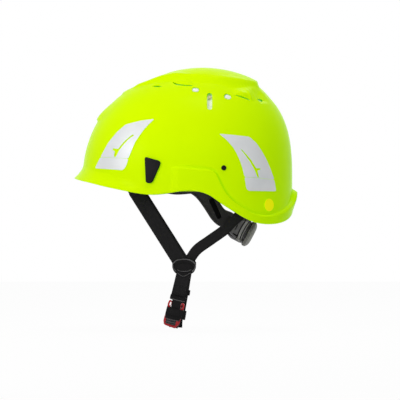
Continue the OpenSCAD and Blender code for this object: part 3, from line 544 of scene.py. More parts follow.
def foam_place(u, v):
    az = 360 * u
    a = fold(az)
    rim = curve(RIM, a) + FOAM_LIFT + FOAM_EAR_RISE * smooth(98, 112, a) * (1 - smooth(140, 158, a))
    rows, turn = 0.46, 0.08
    if v <= rows:
        return dome_pt(az, mix(90, el_at_height(az, rim + 1.5, FOAM_OUT), v / rows), FOAM_OUT)
    if v < rows + turn:
        t = math.pi * (v - rows) / turn
        depth = mix(FOAM_OUT, FOAM_IN, (1 - math.cos(t)) / 2)
        return dome_pt(az, el_at_height(az, rim + 1.5 - 1.5 * math.sin(t) ** 0.5, depth), depth)
    t = (v - rows - turn) / (1 - rows - turn)
    return dome_pt(az, mix(el_at_height(az, rim + 1.5, FOAM_IN), 90, t), FOAM_IN)


foam = grid_solid("eps_liner", 240, 100, foam_place)


def side_x(y, z, depth):
    """Half width of the dome at a given y and z."""
    az = 90.0
    for _ in range(6):
        p = dome_p(az)
        lift = max(0.0, z - WIDE_Z) / (DOME_H - depth)
        rho = (1 - lift ** p) ** (1 / p)
        reach = abs(y) / ((FRONT if y < 0 else BACK) - depth)
        x = (HALF_W - depth) * max(0.0, rho ** 2.2 - reach ** 2.2) ** (1 / 2.2)
        az = math.degrees(math.atan2(x, -y))
    return x


def joined(name, *objs):
    """Joins pieces of one part into one mesh."""
    bm = bmesh.new()
    mats = []
    for obj in objs:
        start = len(bm.faces)
        bm.from_mesh(obj.data)
        bm.faces.ensure_lookup_table()
        own = list(obj.data.materials) or [None]
        for mat in own:
            if mat not in mats:
                mats.append(mat)
        for face in bm.faces[start:]:
            face.material_index = mats.index(own[min(face.material_index, len(own) - 1)])
    mesh = bpy.data.meshes.new(name)
    bm.to_mesh(mesh)
    bm.free()
    for obj in objs:
        bpy.data.objects.remove(obj)
    out = bpy.data.objects.new(name, mesh)
    bpy.context.collection.objects.link(out)
    for mat in mats:
        if mat:
            mesh.materials.append(mat)
    return out


def foam_stud(a, b, width, sign):
    """A boss of the liner that fills an oval to just under the shell's face."""
    rim = round_slot(a, b, width - 0.5, 12)
    count = len(rim)
    middle = (Vector(a) + Vector(b)) / 2
    rows = [(0.02, 1.0), (0.5, 1.0), (0.9, 1.0), (1.0, 1.4), (1.0, 3.0), (1.0, 6.0)]

    def place(u, v):
        share, depth = rows[round(v * (len(rows) - 1))]
        y, z = middle.lerp(Vector(rim[round(u * count) % count]), share)
        return Vector((sign * side_x(y, z, depth), y, z))

    return grid_solid("stud", count, len(rows) - 1, place)


def foam_cutters(sign):
    lifted = [[(y, z + 1.3) for y, z in wedge] for wedge in (WEDGES[0], WEDGES[2])]
    cutters = [prism("vent", rounded(w, 1.2, 3), sign * 10, sign * 108) for w in lifted]
    ends = sorted((sign * 96.2, sign * 127.2))
    cutters.append(block("socket", (ends[0], SOCKET_Y - 17.8, -67),
                         (ends[1], SOCKET_Y + 17.8, SOCKET_TOP + 2.6)))
    for y, z, w in ((-62.3, -32.2, 25), (74.4, -58.2, 18.4)):
        ends = sorted((sign * 45, sign * 75))
        cutters.append(block("tab", (ends[0], y - w / 2 - 8, z - 40), (ends[1], y + w / 2 + 4, z + 8)))
    return cutters


cut(foam, *foam_cutters(1), *foam_cutters(-1))
foam = joined("eps_liner", foam, *[foam_stud(*oval, sign) for oval in OVALS[:2] for sign in (1, -1)])
for poly in foam.data.polygons:
    poly.use_smooth = True


def shader_group(name, inputs, outputs):
    """An empty node group with float inputs and outputs: (group, node maker, link maker, in, out)."""
    group = bpy.data.node_groups.new(name, "ShaderNodeTree")
    for label, value in inputs:
        group.interface.new_socket(label, in_out="INPUT", socket_type="NodeSocketFloat").default_value = value
    for label in outputs:
        group.interface.new_socket(label, in_out="OUTPUT", socket_type="NodeSocketFloat")
    start, end = group.nodes.new("NodeGroupInput"), group.nodes.new("NodeGroupOutput")
    return group, group.nodes.new, group.links.new, start, end


def place_group(node, group, **values):
    """Puts a group in a material with its own values."""
    placed = node("ShaderNodeGroup")
    placed.node_tree = group
    for label, value in values.items():
        placed.inputs[label].default_value = value
    return placed.outputs


foam_mat, node, link, shader = new_material("polystyrene_beads")
beads = node("ShaderNodeTexVoronoi")
beads.inputs["Scale"].default_value = 360
beads.inputs["Randomness"].default_value = 0.85
place = node("ShaderNodeTexCoord")
link(place.outputs["Object"], beads.inputs["Vector"])
seams = ramp(node, link, beads.outputs["Distance"],
             [(0.0, (0.92, 0.92, 0.91)), (0.62, (0.88, 0.88, 0.87)), (0.95, (0.70, 0.71, 0.71))])
link(seams, shader.inputs["Base Color"])
link(span(node, link, noise(node, link, 300, 2), 0.7, 0.9), shader.inputs["Roughness"])
shader.inputs["Specular IOR Level"].default_value = 0.25
dimple = node("ShaderNodeMath")
dimple.operation = "MULTIPLY"
dimple.inputs[1].default_value = -1
link(beads.outputs["Distance"], dimple.inputs[0])
bump(node, link, shader, dimple.outputs[0], 0.0004, 0.9)
foam.data.materials.clear()
foam.data.materials.append(foam_mat)
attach(foam, "helmet")
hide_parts("eps_liner")

# ---- Accessory slots ----
# Open-bottomed pockets moulded with the shell behind the ear ledge, for 30 mm earmuff blades.
# They keep the shell's colour, a little darker because they are unpolished.
grain_group, node, link, start, end = shader_group("moulded_grain", [("Scale", 900.0)], ["Height", "Shade"])
where = node("ShaderNodeTexCoord")
fine = node("ShaderNodeTexNoise")
fine.inputs["Detail"].default_value = 4
link(start.outputs["Scale"], fine.inputs["Scale"])
link(where.outputs["Object"], fine.inputs["Vector"])
link(fine.outputs["Fac"], end.inputs["Height"])
broad = node("ShaderNodeTexNoise")
broad.inputs["Scale"].default_value = 45
broad.inputs["Detail"].default_value = 3
link(where.outputs["Object"], broad.inputs["Vector"])
both_shades = node("ShaderNodeMath")
both_shades.operation = "MULTIPLY_ADD"
both_shades.inputs[1].default_value = 0.4
link(fine.outputs["Fac"], both_shades.inputs[0])
part = node("ShaderNodeMath")
part.operation = "MULTIPLY"
part.inputs[1].default_value = 0.6
link(broad.outputs["Fac"], part.inputs[0])
link(part.outputs[0], both_shades.inputs[2])
link(both_shades.outputs[0], end.inputs["Shade"])


def moulded(name, dark, light, rough=(0.4, 0.55), scale=900.0, height=0.00006, level=0.14, tint=None,
             glow=None):
    """Moulded plastic: fine grain in the height, cloudy colour and roughness."""
    mat, node, link, shader = new_material(name)
    grain = place_group(node, grain_group, Scale=scale)
    link(ramp(node, link, grain["Shade"], [(0.38, dark), (0.62, light)]), shader.inputs["Base Color"])
    link(span(node, link, grain["Shade"], *rough), shader.inputs["Roughness"])
    shader.inputs["Specular IOR Level"].default_value = level
    if tint:
        shader.inputs["Specular Tint"].default_value = (*tint, 1)
    if glow:
        shader.inputs["Emission Color"].default_value = (*glow, 1)
        shader.inputs["Emission Strength"].default_value = 1.0
    bump(node, link, shader, grain["Height"], height, 0.6)
    return mat


def dress(name, mat, edge=0.0):
    """Gives a CAD node its finish, and rounds its edges by a real radius in mm."""
    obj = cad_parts[name]
    obj.data.materials.clear()
    obj.data.materials.append(mat)
    for poly in obj.data.polygons:
        poly.material_index = 0
    if edge:
        weld = obj.modifiers.new("weld", "WELD")
        weld.merge_threshold = 0.00001
        bevel = obj.modifiers.new("edges", "BEVEL")
        bevel.width = edge * MM
        bevel.segments = 2
        bevel.limit_method = "ANGLE"
        bevel.angle_limit = math.radians(35)
        bevel.harden_normals = False
    return obj


socket_mat = moulded("socket_abs", (0.42, 0.50, 0.01), (0.5, 0.58, 0.012), tint=(0.75, 1.0, 0.2))
for side in ("left", "right"):
    dress("ear_slot_" + side, socket_mat, 0.3)

# ---- Side plugs ----
# Black nylon blanking plugs, pressed into the pin slots ahead of the ears. The raised plate has
# round edges and a bare face.
black_mat = moulded("black_nylon", (0.003, 0.0027, 0.003), (0.0075, 0.0069, 0.0075), (0.34, 0.46), 1100.0,
                    level=0.1)
# A pale grey laid on rounded edges is a painted highlight.
highlight_mat = moulded("painted_highlight_nylon", (0.045, 0.043, 0.045), (0.10, 0.097, 0.10), (0.22, 0.34), 1100.0,
                    level=0.4)
PLUG_Y, PLUG_Z = -40.8, -6.6
PLUG = [(-9.4, 16.2), (-7.4, -17.0), (0.6, -17.0), (11.0, 6.4), (10.6, 10.6)]


def wall_frame(y, z):
    """A point on the shell's side with its outward, rearward and upward directions."""
    p = Vector((side_x(y, z, 0), y, z))
    back = Vector((side_x(y + 1, z, 0), y + 1, z)) - Vector((side_x(y - 1, z, 0), y - 1, z))
    up = Vector((side_x(y, z + 1, 0), y, z + 1)) - Vector((side_x(y, z - 1, 0), y, z - 1))
    back.normalize()
    out = back.cross(up).normalized()
    return p, out, back, out.cross(back)


def on_wall(obj, y, z, lift=0.0):
    """Moves a piece made round the origin, with x outwards, onto the shell's side."""
    p, out, back, up = wall_frame(y, z)
    for vert in obj.data.vertices:
        c = vert.co.copy()
        vert.co = (p + out * lift) * MM + out * c.x + back * c.y + up * c.z
    return obj


def other_side(obj, name):
    """A mirrored copy for the right side."""
    bm = bmesh.new()
    bm.from_mesh(obj.data)
    bmesh.ops.scale(bm, vec=(-1, 1, 1), verts=bm.verts)
    bmesh.ops.reverse_faces(bm, faces=bm.faces)
    copy = finished(bm, name)
    for mat in obj.data.materials:
        copy.data.materials.append(mat)
    return copy


def plate(name, outline, thickness, edge, low=0.0, segments=3):
    """A flat plate of (y, z) outline, x from low up, with its upper edge rounded."""
    bm = bmesh.new()
    face = bm.faces.new([bm.verts.new((low * MM, y * MM, z * MM)) for y, z in outline])
    pulled = bmesh.ops.extrude_face_region(bm, geom=[face])
    tops = [v for v in pulled["geom"] if isinstance(v, bmesh.types.BMVert)]
    bmesh.ops.translate(bm, vec=(thickness * MM, 0, 0), verts=tops)
    rim = [e for e in bm.edges if all(v in tops for v in e.verts)]
    bmesh.ops.recalc_face_normals(bm, faces=bm.faces)
    if edge:
        bmesh.ops.bevel(bm, geom=rim, offset=edge * MM, affect="EDGES", segments=segments, profile=0.5,
                        material=-1)
    bmesh.ops.recalc_face_normals(bm, faces=bm.faces)
    obj = finished(bm, name)
    flat_shade(obj)
    return obj


def flat_shade(obj, angle=40):
    """Keeps edges sharper than an angle crisp."""
    bm = bmesh.new()
    bm.from_mesh(obj.data)
    limit = math.radians(angle)
    for edge in bm.edges:
        edge.smooth = len(edge.link_faces) == 2 and edge.calc_face_angle(0.0) < limit
    for face in bm.faces:
        face.smooth = True
    bm.to_mesh(obj.data)
    bm.free()
    return obj


def painted(obj, mat):
    obj.data.materials.clear()
    obj.data.materials.append(mat)
    return obj


def tube(name, points, radius, around=10, closed=False, squash=1.0):
    """A round cord of mesh along points in mm."""
    points = [Vector(p) for p in points]
    count = len(points)

    def ring(u, v):
        i = round(u * (count if closed else count - 1)) % count
        ahead = points[(i + 1) % count] if closed or i < count - 1 else points[i]
        behind = points[i - 1] if closed or i > 0 else points[i]
        way = (ahead - behind).normalized()
        side = way.cross(Vector((1, 0, 0)) if abs(way.x) < 0.9 else Vector((0, 0, 1))).normalized()
        other = way.cross(side)
        t = 2 * math.pi * v
        return points[i] + side * math.cos(t) * radius + other * math.sin(t) * radius * squash

    return grid_solid(name, count if closed else count - 1, around, ring)


plug_body = plate("plug_body", rounded(PLUG, 3.5, 6), 2.2, 0.9, 0.3)
painted(plug_body, black_mat)
plug_left = on_wall(joined("side_plug_left", plug_body), PLUG_Y, PLUG_Z)
plug_right = other_side(plug_left, "side_plug_right")
for plug, side in ((plug_left, "left"), (plug_right, "right")):
    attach(plug, "helmet")
    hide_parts("side_plug_" + side)

# ---- Reflectors ----
# Four panels of grey retro-reflective film, die-cut with a curved slot and a crease line, and stuck
# on the shell. Fine bead texture; the film follows the shell's curve.
film_mat, node, link, shader = new_material("reflective_film")
cells = node("ShaderNodeTexVoronoi")
cells.inputs["Scale"].default_value = 900
place = node("ShaderNodeTexCoord")
link(place.outputs["Object"], cells.inputs["Vector"])
link(ramp(node, link, noise(node, link, 22, 3), [(0.35, (0.66, 0.68, 0.69)), (0.65, (0.73, 0.745, 0.755))]),
     shader.inputs["Base Color"])
link(span(node, link, noise(node, link, 120, 3), 0.42, 0.56), shader.inputs["Roughness"])
shader.inputs["Metallic"].default_value = 0.25
bump(node, link, shader, cells.outputs["Distance"], 0.00004, 0.5)
FILMS = {
    "front": ([[(-106.0, 9.4), (-96.6, 26.6), (-85.6, 40.2), (-73.9, 50.2), (-56.0, 54.6), (-37.9, 56.9),
                (-45.6, 49.6), (-52.8, 41.4), (-61.8, 28.3), (-68.0, 13.8), (-70.4, 7.4)],
               [(-106.2, 9.1), (-70.5, 7.1), (-72.6, 0.0), (-74.9, -4.8), (-77.6, -7.2), (-113.1, -4.7)]],
              [(-63.4, 36.4), (-64.6, 37.6), (-67.4, 35.8), (-74.9, 29.6), (-80.4, 23.2), (-83.3, 19.4),
               (-89.9, 20.2), (-90.3, 17.8), (-87.6, 16.4), (-88.9, 10.0), (-86.6, 9.2), (-81.8, 18.0),
               (-76.6, 24.6), (-71.4, 30.6)]),
    "rear": ([[(42.9, 38.2), (62.0, 36.6), (80.6, 34.6), (89.9, 26.4), (96.8, 16.0), (102.5, 5.6),
               (107.6, -6.0), (112.2, -19.0), (94.0, -16.9), (74.5, -15.6), (72.0, -4.6), (68.9, 4.4),
               (65.0, 13.0), (60.5, 21.0), (52.3, 30.3)],
              [(74.6, -15.9), (94.0, -17.2), (112.3, -19.3), (114.7, -33.6), (79.8, -33.0), (76.9, -30.6)]],
             [(69.6, 18.8), (71.4, 18.4), (77.6, 11.8), (83.8, 4.2), (89.2, -4.6), (94.4, -4.8),
              (94.6, -6.9), (90.9, -7.6), (92.7, -16.2), (91.0, -16.4), (87.2, -7.2), (81.2, 3.6),
              (75.6, 11.4)]),
}
FILM_LOW, FILM_T = 0.15, 0.4


def film_sheet(name, outline, low, high):
    """A curved slab that follows the shell's side just past an outline, between two heights above it."""
    ys = [p[0] for p in outline]
    y0, y1 = min(ys), max(ys)

    def span_at(y):
        zs = []
        for (ya, za), (yb, zb) in zip(outline, outline[1:] + outline[:1]):
            if ya != yb and min(ya, yb) <= y <= max(ya, yb):
                zs.append(mix(za, zb, (y - ya) / (yb - ya)))
        return min(zs) - 3, max(zs) + 2

    def place(u, v):
        y = mix(y0 - 1.5, y1 + 1.5, u)
        z0, z1 = span_at(mix(y0 + 0.05, y1 - 0.05, u))
        up = min(1.0, min(v, 1 - v) / 0.49)
        depth = -high if v < 0.499 else -low
        z = mix(z0, z1, up)
        return Vector((side_x(y, z, depth), y, z))

    return grid_solid(name, 70, 102, place, ring=True)


for place_name, (panels, slot) in FILMS.items():
    parts = []
    for number, outline in enumerate(panels):
        sheet = film_sheet("film", outline, FILM_LOW, FILM_LOW + FILM_T)
        cut(sheet, prism("outline", rounded(outline, 2.2, 3), 20, 112), how="INTERSECT")
        if number == 0:
            cut(sheet, prism("slot", rounded(slot, 0.5, 2), 20, 112))
        parts.append(flat_shade(painted(sheet, film_mat), 30))
    film_left = joined("reflector_" + place_name + "_left", *parts)
    film_right = other_side(film_left, "reflector_" + place_name + "_right")
    flat_shade(film_right, 30)
    for film, side in ((film_left, "left"), (film_right, "right")):
        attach(film, "helmet")
        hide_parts("reflector_" + place_name + "_" + side)

# ---- Round label, shell buttons and lamp hooks ----
# A plain round polyester label at the nape, a small rubber button over each chassis pin, and a
# beige nylon hook behind each tall slot that takes a headlamp strap.
# A faint yellow emission lifts the label evenly: painted light.
label_mat = moulded("yellow_label", (0.90, 0.86, 0.0), (0.96, 0.92, 0.0), (0.3, 0.42), 700.0,
                    tint=(1.0, 0.95, 0.3), glow=(0.16, 0.20, 0.0))
dress("round_label", label_mat, 0.12)
dress("shell_plugs", black_mat, 0.35)
hook_mat = moulded("beige_nylon", (0.50, 0.42, 0.26), (0.60, 0.51, 0.33), (0.45, 0.6))
dress("lamp_hooks", hook_mat, 0.5)

# ---- Slip liner ----
# A thin yellow low-friction sheet, vacuum-formed, that floats between the foam and the pads on
# four elastomer anchors.
SLIP_OUT, SLIP_IN, SLIP_LOW = 24.05, 24.6, 14.0


ANCHORS = [dome_pt(az, 36, SLIP_OUT) for az in (42, 138, 222, 318)]


def slip_place(u, v):
    """The sheet, with a shallow dimple round each anchor that leaves it room to turn."""
    az = 360 * u
    low = el_of(az, SLIP_LOW, SLIP_OUT) * 1.02
    if v < 0.5:
        el, depth = mix(90, low, min(1, v / 0.48)), SLIP_OUT
    else:
        el, depth = mix(low, 90, max(0, v - 0.52) / 0.48), SLIP_IN
    near = min((dome_pt(az, el, depth) - anchor).length for anchor in ANCHORS)
    return dome_pt(az, el, depth + 1.4 * (1 - smooth(11, 20, near)))


slip = grid_solid("slip_liner", 160, 75, slip_place)
slip_mat = moulded("slip_sheet", (0.70, 0.56, 0.03), (0.80, 0.65, 0.05), (0.28, 0.4), 500.0)
painted(flat_shade(slip), slip_mat)
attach(slip, "slip")
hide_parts("slip_liner")
anchor_mat = moulded("elastomer", (0.03, 0.03, 0.032), (0.05, 0.05, 0.052), (0.5, 0.65))
dress("slip_anchors", anchor_mat, 0.4)

# ---- Comfort pads ----
# Open-cell foam cut to shape and covered in charcoal brushed knit, welded along its edges and in
# rows of channels; held to the liner and the brow band with hook tape.
PAD_OUT, PAD_T = 25.2, 5.0
pad_mat, node, link, shader = new_material("brushed_knit")
loops = node("ShaderNodeTexVoronoi")
loops.inputs["Scale"].default_value = 1500
place = node("ShaderNodeTexCoord")
link(place.outputs["Object"], loops.inputs["Vector"])
link(ramp(node, link, noise(node, link, 420, 5, 0.7),
          [(0.3, (0.012, 0.012, 0.014)), (0.7, (0.035, 0.035, 0.04))]),
     shader.inputs["Base Color"])
link(span(node, link, noise(node, link, 200, 3), 0.85, 1.0), shader.inputs["Roughness"])
shader.inputs["Sheen Weight"].default_value = 0.3
shader.inputs["Sheen Roughness"].default_value = 0.5
bump(node, link, shader, loops.outputs["Distance"], 0.00025, 0.7)


def pad(name, frame_of, nu, nv, channels, thickness, wall):
    """A crowned pad: flat underneath, full on top, pinched in at its edges and along its channels.

    frame_of(a, b, lift) gives a point for a and b from 0 to 1, that far above the pad's seat.
    """
    def swell(a, b):
        edge = min(1.0, min(a, 1 - a) * nu / 5.0, min(b, 1 - b) * nv / 5.0)
        full = math.sqrt(max(0.0, 1 - (1 - edge) ** 2))
        crown = 0.82 + 0.18 * math.sin(math.pi * a) * math.sin(math.pi * b)
        for line in channels:
            gap = abs(a - line) * nu
            if 0.12 < b < 0.88:
                crown *= 1 - 0.45 * math.exp(-(gap / 1.3) ** 2)
        return thickness * (0.16 + 0.84 * full * crown)

    def place(u, v):
        half = 0.5
        if v <= half:
            b = v / half
            return frame_of(u, b, swell(u, b))
        b = 1 - (v - half) / half
        return frame_of(u, b, 0.02 * thickness)

    return painted(grid_solid(name, nu, 2 * nv, place, ring=True), wall)


def crown_seat(u, v, lift):
    """A round seat in the crown: u and v span a square eased into a disc."""
    x, y = 2 * u - 1, 2 * v - 1
    away = max(abs(x), abs(y))
    turn = math.degrees(math.atan2(x, -y))
    return dome_pt(turn, 90 - 22 * away, PAD_OUT + lift)


crown_pad = pad("crown_pad", crown_seat, 48, 48, (0.34, 0.66), PAD_T, pad_mat)


def side_seat(u, v, lift):
    return dome_pt(mix(66, 118, u), mix(22, 44, v), PAD_OUT + lift)


side_pad_left = pad("side_pad_left", side_seat, 60, 30, (0.25, 0.5, 0.75), PAD_T, pad_mat)
side_pad_right = other_side(side_pad_left, "side_pad_right")
for piece in (crown_pad, side_pad_left, side_pad_right):
    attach(piece, "slip")
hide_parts("crown_pad")
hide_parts("side_pads")
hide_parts("side_pads")

# ---- Brow band ----
# A flexible black nylon band round the forehead, snapped into the foam, whose ends drop to the
# cradle's pivots. A padded sweatband is welded to its inside.
BAND_OUT, BAND_T = FOAM_IN + 3.2, 1.6
BAND_LOW = [(0, -20), (66, -20), (74, -35.8), (102, -35.8)]
BAND_TOP, BAND_REACH = 5.0, 105.9
cradle_mat = moulded("cradle_nylon", (0.020, 0.018, 0.019), (0.034, 0.032, 0.033), (0.4, 0.55), 1000.0)


def band_place(u, v):
    az = mix(-BAND_REACH, BAND_REACH, u)
    low = curve(BAND_LOW, fold(az))
    k = min(1.0, (v % 0.5) / 0.46)
    z, depth = (mix(low, BAND_TOP, k), BAND_OUT) if v < 0.5 else (mix(BAND_TOP, low, k), BAND_OUT + BAND_T)
    return dome_pt(az, el_of(az, z, depth), depth)


brow_band = painted(flat_shade(grid_solid("brow_band", 180, 25, band_place, ring=True)), cradle_mat)
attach(brow_band, "helmet")
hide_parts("brow_band")


def brow_seat(u, v, lift):
    az = mix(60, -60, u)
    depth = BAND_OUT + BAND_T + 0.3 + lift
    return dome_pt(az, el_of(az, mix(BAND_LOW[0][1] + 2, BAND_TOP - 2, v), depth), depth)


brow_pad = pad("brow_pad", brow_seat, 110, 22, (0.2, 0.35, 0.5, 0.65, 0.8), PAD_T, pad_mat)
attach(brow_pad, "helmet")
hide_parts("brow_pad")
dress("temple_pins", black_mat, 0.5)

# ---- Nape cradle ----
# Two springy nylon arms curve back from the brow band's pivots to a ratchet housing. Each has a
# thick front edge, a blind lightening recess with a raised lip, and a moulded stud.
NAPE_C, NAPE_TILT, NAPE_R = Vector((0, 2.5, -46.5)), math.radians(27.5), 75.0
PIVOT = (-3.92, 32.0)
ARM = [(70, -6), (57, -6.6), (49, -9.2), (38, -6.1), (29, -0.8), (18, 5.4), (9, 9.6), (1, 11.2), (-7, 11.0),
       (-12.6, 14.0), (PIVOT[0] - 9.0, PIVOT[1] - 6.5), (PIVOT[0] - 8.5, PIVOT[1] + 6.5),
       (PIVOT[0] - 1, PIVOT[1] + 8.5),
       (PIVOT[0] + 9.5, PIVOT[1] + 5.5), (20, 30), (36, 18.3), (45.6, 13.0), (51, 13.4), (57.5, 14.4),
       (60, 12), (59.5, 6), (70, 6)]
ARM_SLOT = ((26.7, 15.6), (43.9, 2.1), 6.8)


def to_nape(p):
    """A point of the cradle's own frame, in mm, in the helmet's frame."""
    c, s = math.cos(NAPE_TILT), math.sin(NAPE_TILT)
    return Vector((p[0], p[1] * c + p[2] * s, -p[1] * s + p[2] * c)) + NAPE_C


def on_ring(radius, along, z, back):
    """A point on the cradle's ring: along is measured across it, from the side or from behind."""
    along = max(-radius * 0.997, min(radius * 0.997, along))
    rest = math.sqrt(radius ** 2 - along ** 2)
    return (along, rest, z) if back else (rest, along, z)


def wrap(obj, radius, back=False, step=2.5):
    """Bends a flat plate onto the ring and moves it into the cradle's place."""
    bm = bmesh.new()
    bm.from_mesh(obj.data)
    turn = -60.0
    while turn < 80:
        cut_at = radius * math.sin(math.radians(turn)) * MM
        bmesh.ops.bisect_plane(bm, geom=bm.verts[:] + bm.edges[:] + bm.faces[:], dist=1e-7,
                               plane_co=(0, cut_at, 0), plane_no=(0, 1, 0))
        turn += step
    for vert in bm.verts:
        deep, along, z = vert.co / MM
        near = Vector(on_ring(radius, along, z, back))
        out = Vector((near.x, near.y, 0)).normalized()
        vert.co = to_nape(near + out * deep) * MM
    bmesh.ops.recalc_face_normals(bm, faces=bm.faces)
    bm.to_mesh(obj.data)
    bm.free()
    return flat_shade(obj, 35)


def ring_path(points, radius, back=False):
    return [to_nape(on_ring(radius, a, z, back)) for a, z in points]


def line_up(points, steps):
    """More points along a chain, eased through its corners."""
    out = []
    count = len(points)
    for i in range(count - 1):
        p0, p1 = Vector(points[max(i - 1, 0)]), Vector(points[i])
        p2, p3 = Vector(points[i + 1]), Vector(points[min(i + 2, count - 1)])
        for k in range(steps):
            t = k / steps
            out.append(0.5 * (2 * p1 + (p2 - p0) * t + (2 * p0 - 5 * p1 + 4 * p2 - p3) * t * t
                              + (3 * p1 - p0 - 3 * p2 + p3) * t ** 3))
    return out + [Vector(points[-1])]


# Near-black sheets set into recesses, grooves and slits are painted shade.
shade_mat = moulded("painted_shade_black", (0.0015, 0.0014, 0.0015), (0.004, 0.0037, 0.004), (0.6, 0.75), level=0.04)
arm_flat = plate("arm_body", rounded(ARM, 6, 4), 2.0, 0.7)
recess = prism("recess", round_slot(*ARM_SLOT, 10), 0.8, 4)
bore = prism("bore", [(PIVOT[0] + 2.56 * math.cos(t), PIVOT[1] + 2.56 * math.sin(t))
                      for t in [math.radians(15 * k) for k in range(24)]], -1, 4)
cut(arm_flat, recess, bore)
painted(wrap(arm_flat, NAPE_R), cradle_mat)
# A black sheet in the recess's floor paints the shade inside it.
arm_recess_shade = painted(wrap(prism("arm_recess_shade", round_slot(ARM_SLOT[0], ARM_SLOT[1], ARM_SLOT[2] + 0.2, 10),
                              0.5, 0.95),
                        NAPE_R), shade_mat)
lip_a = [(a, z) for a, z in round_slot(ARM_SLOT[0], ARM_SLOT[1], ARM_SLOT[2] + 0.8, 10)]
arm_lip = painted(tube("arm_lip", ring_path(lip_a, NAPE_R + 2.0), 0.55, 8, True), cradle_mat)
edge_line = line_up([(a, z) for a, z in [(-8, 13.4), (1, 12.9), (9, 11.4), (18, 7.3), (29, 1.6), (38, -3.6),
                                         (46, -6.6)]], 8)
arm_edge = painted(tube("arm_edge", ring_path(edge_line, NAPE_R + 1.9), 1.25, 10, False, 0.7), cradle_mat)
rear_line = line_up([(16, 29.4), (26, 23.4), (36, 16.2), (46, 10.4), (53, 7.0)], 8)
arm_rear = painted(tube("arm_rear", ring_path(rear_line, NAPE_R + 1.9), 0.7, 8, False, 0.7), cradle_mat)


def stud(name, radius, height, centre, out):
    """A low round stud with an eased edge, centre in mm."""
    out = Vector(out).normalized()
    side = out.orthogonal().normalized()
    up = out.cross(side)
    profile = [(0, height), (radius - 0.5, height), (radius - 0.15, height - 0.15), (radius, height - 0.5),
               (radius, 0), (0, 0)]

    def place(u, v):
        k = v * (len(profile) - 1)
        i = min(int(k), len(profile) - 2)
        r, h = Vector(profile[i]).lerp(Vector(profile[i + 1]), k - i)
        t = 2 * math.pi * u
        return Vector(centre) + side * r * math.cos(t) + up * r * math.sin(t) + out * h

    return flat_shade(grid_solid(name, 36, 10, place), 45)


stud_at = on_ring(NAPE_R + 1.9, 15.5, 21.2, False)
arm_stud = painted(stud("arm_stud", 1.9, 1.3, to_nape(stud_at),
                        to_nape(stud_at) - to_nape((0, 0, stud_at[2]))), cradle_mat)
arm_left = joined("arm_left", arm_flat, arm_recess_shade, arm_lip, arm_edge, arm_rear, arm_stud)
arm_right = flat_shade(other_side(arm_left, "arm_right"), 35)
for arm, side in ((arm_left, "left"), (arm_right, "right")):
    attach(arm, "nape_cradle")
    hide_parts("arm_" + side)

# ---- Ratchet housing ----
# A two-part grey nylon case clipped over the arms' toothed strips. Grooves and slits with black floors
# of painted shade, and paler raised bands, ring the dial's seat, and a foam pad faces the neck.
HOUSING = [(-55, -8.6), (-48, -10.1), (-37, -12.4), (-28, -14.4), (-18, -15.6), (18, -15.6), (28, -14.4),
           (37, -12.4), (48, -10.1), (55, -8.6), (55, 8.6), (48, 10.1), (37, 12.4), (28, 14.4), (18, 15.6),
           (-18, 15.6), (-28, 14.4), (-37, 12.4), (-48, 10.1), (-55, 8.6)]
HOUSING_IN, HOUSING_SPLIT, COVER_OUT = 72.7, 80.9, 84.3


def clipped(outline, half):
    """Keeps an outline's ends within a half width."""
    return [(max(-half, min(half, a)), z) for a, z in outline]


def cushion(name, outline, low, high, edge, segments=3):
    """A plate of (y, z) outline from low to high in x, both of whose faces have rounded edges."""
    bm = bmesh.new()
    face = bm.faces.new([bm.verts.new((low * MM, y * MM, z * MM)) for y, z in outline])
    pulled = bmesh.ops.extrude_face_region(bm, geom=[face])
    tops = [v for v in pulled["geom"] if isinstance(v, bmesh.types.BMVert)]
    bmesh.ops.translate(bm, vec=((high - low) * MM, 0, 0), verts=tops)
    bmesh.ops.recalc_face_normals(bm, faces=bm.faces)
    rims = [e for e in bm.edges if abs(e.verts[0].co.x - e.verts[1].co.x) < 1e-7]
    bmesh.ops.bevel(bm, geom=rims, offset=edge * MM, affect="EDGES", segments=segments, profile=0.5,
                    material=-1)
    bmesh.ops.recalc_face_normals(bm, faces=bm.faces)
    return flat_shade(finished(bm, name))


housing_mat = moulded("housing_nylon", (0.030, 0.028, 0.030), (0.048, 0.046, 0.049), (0.4, 0.55), 900.0)
cover_mat = moulded("cover_nylon", (0.060, 0.057, 0.060), (0.095, 0.091, 0.095), (0.36, 0.5), 900.0)
wall_line = [(a, z) for a, z in HOUSING if abs(a) != 48]
shell_wall = plate("housing_wall", rounded(clipped(wall_line, 36.0), 4, 4), 8.0, 0.6)
half_hollow = [(70, 12.0), (35, 12.0), (28, 12.9), (18, 13.9), (-18, 13.9), (-28, 12.9), (-35, 12.0),
               (-70, 12.0)]
hollow = half_hollow + [(-a, -z) for a, z in half_hollow]
cut(shell_wall, prism("hollow", hollow, 2.0, 12))
painted(wrap(shell_wall, HOUSING_IN, True, 3), housing_mat)
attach(shell_wall, "nape_cradle")
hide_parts("nape_housing")

cover = plate("cover_plate", rounded(clipped(HOUSING, 53.6), 4, 4), 3.0, 0.9)
GROOVES = ((35.4, 1.4), (24.0, 1.8))


def arc_strip(low, high, half, sign):
    """A strip between two circles round the dial, kept within half of the cover's height."""
    outer, inner = math.asin(min(0.98, half / high)), math.asin(min(0.98, half / low))
    return ([(sign * high * math.cos(mix(-outer, outer, k / 16)), high * math.sin(mix(-outer, outer, k / 16)))
             for k in range(17)]
            + [(sign * low * math.cos(mix(inner, -inner, k / 16)), low * math.sin(mix(inner, -inner, k / 16)))
               for k in range(17)])


grooves = [arc_strip(r - w, r + w, 19, sign) for r, w in GROOVES for sign in (1, -1)]
slits = [rounded([(sign * 43.8, -3.8), (sign * 45.8, -3.8), (sign * 45.8, 3.8), (sign * 43.8, 3.8)], 0.7, 3)
         for sign in (1, -1)]
slits += [rounded([(sign * 27, -11.3), (sign * 45.5, -9.4), (sign * 45.5, -7.9), (sign * 27, -8.6)], 0.7, 3)
          for sign in (1, -1)]
cut(cover, *[prism("groove", g, 1.9, 6) for g in grooves], *[prism("slit", w, 1.2, 6) for w in slits])


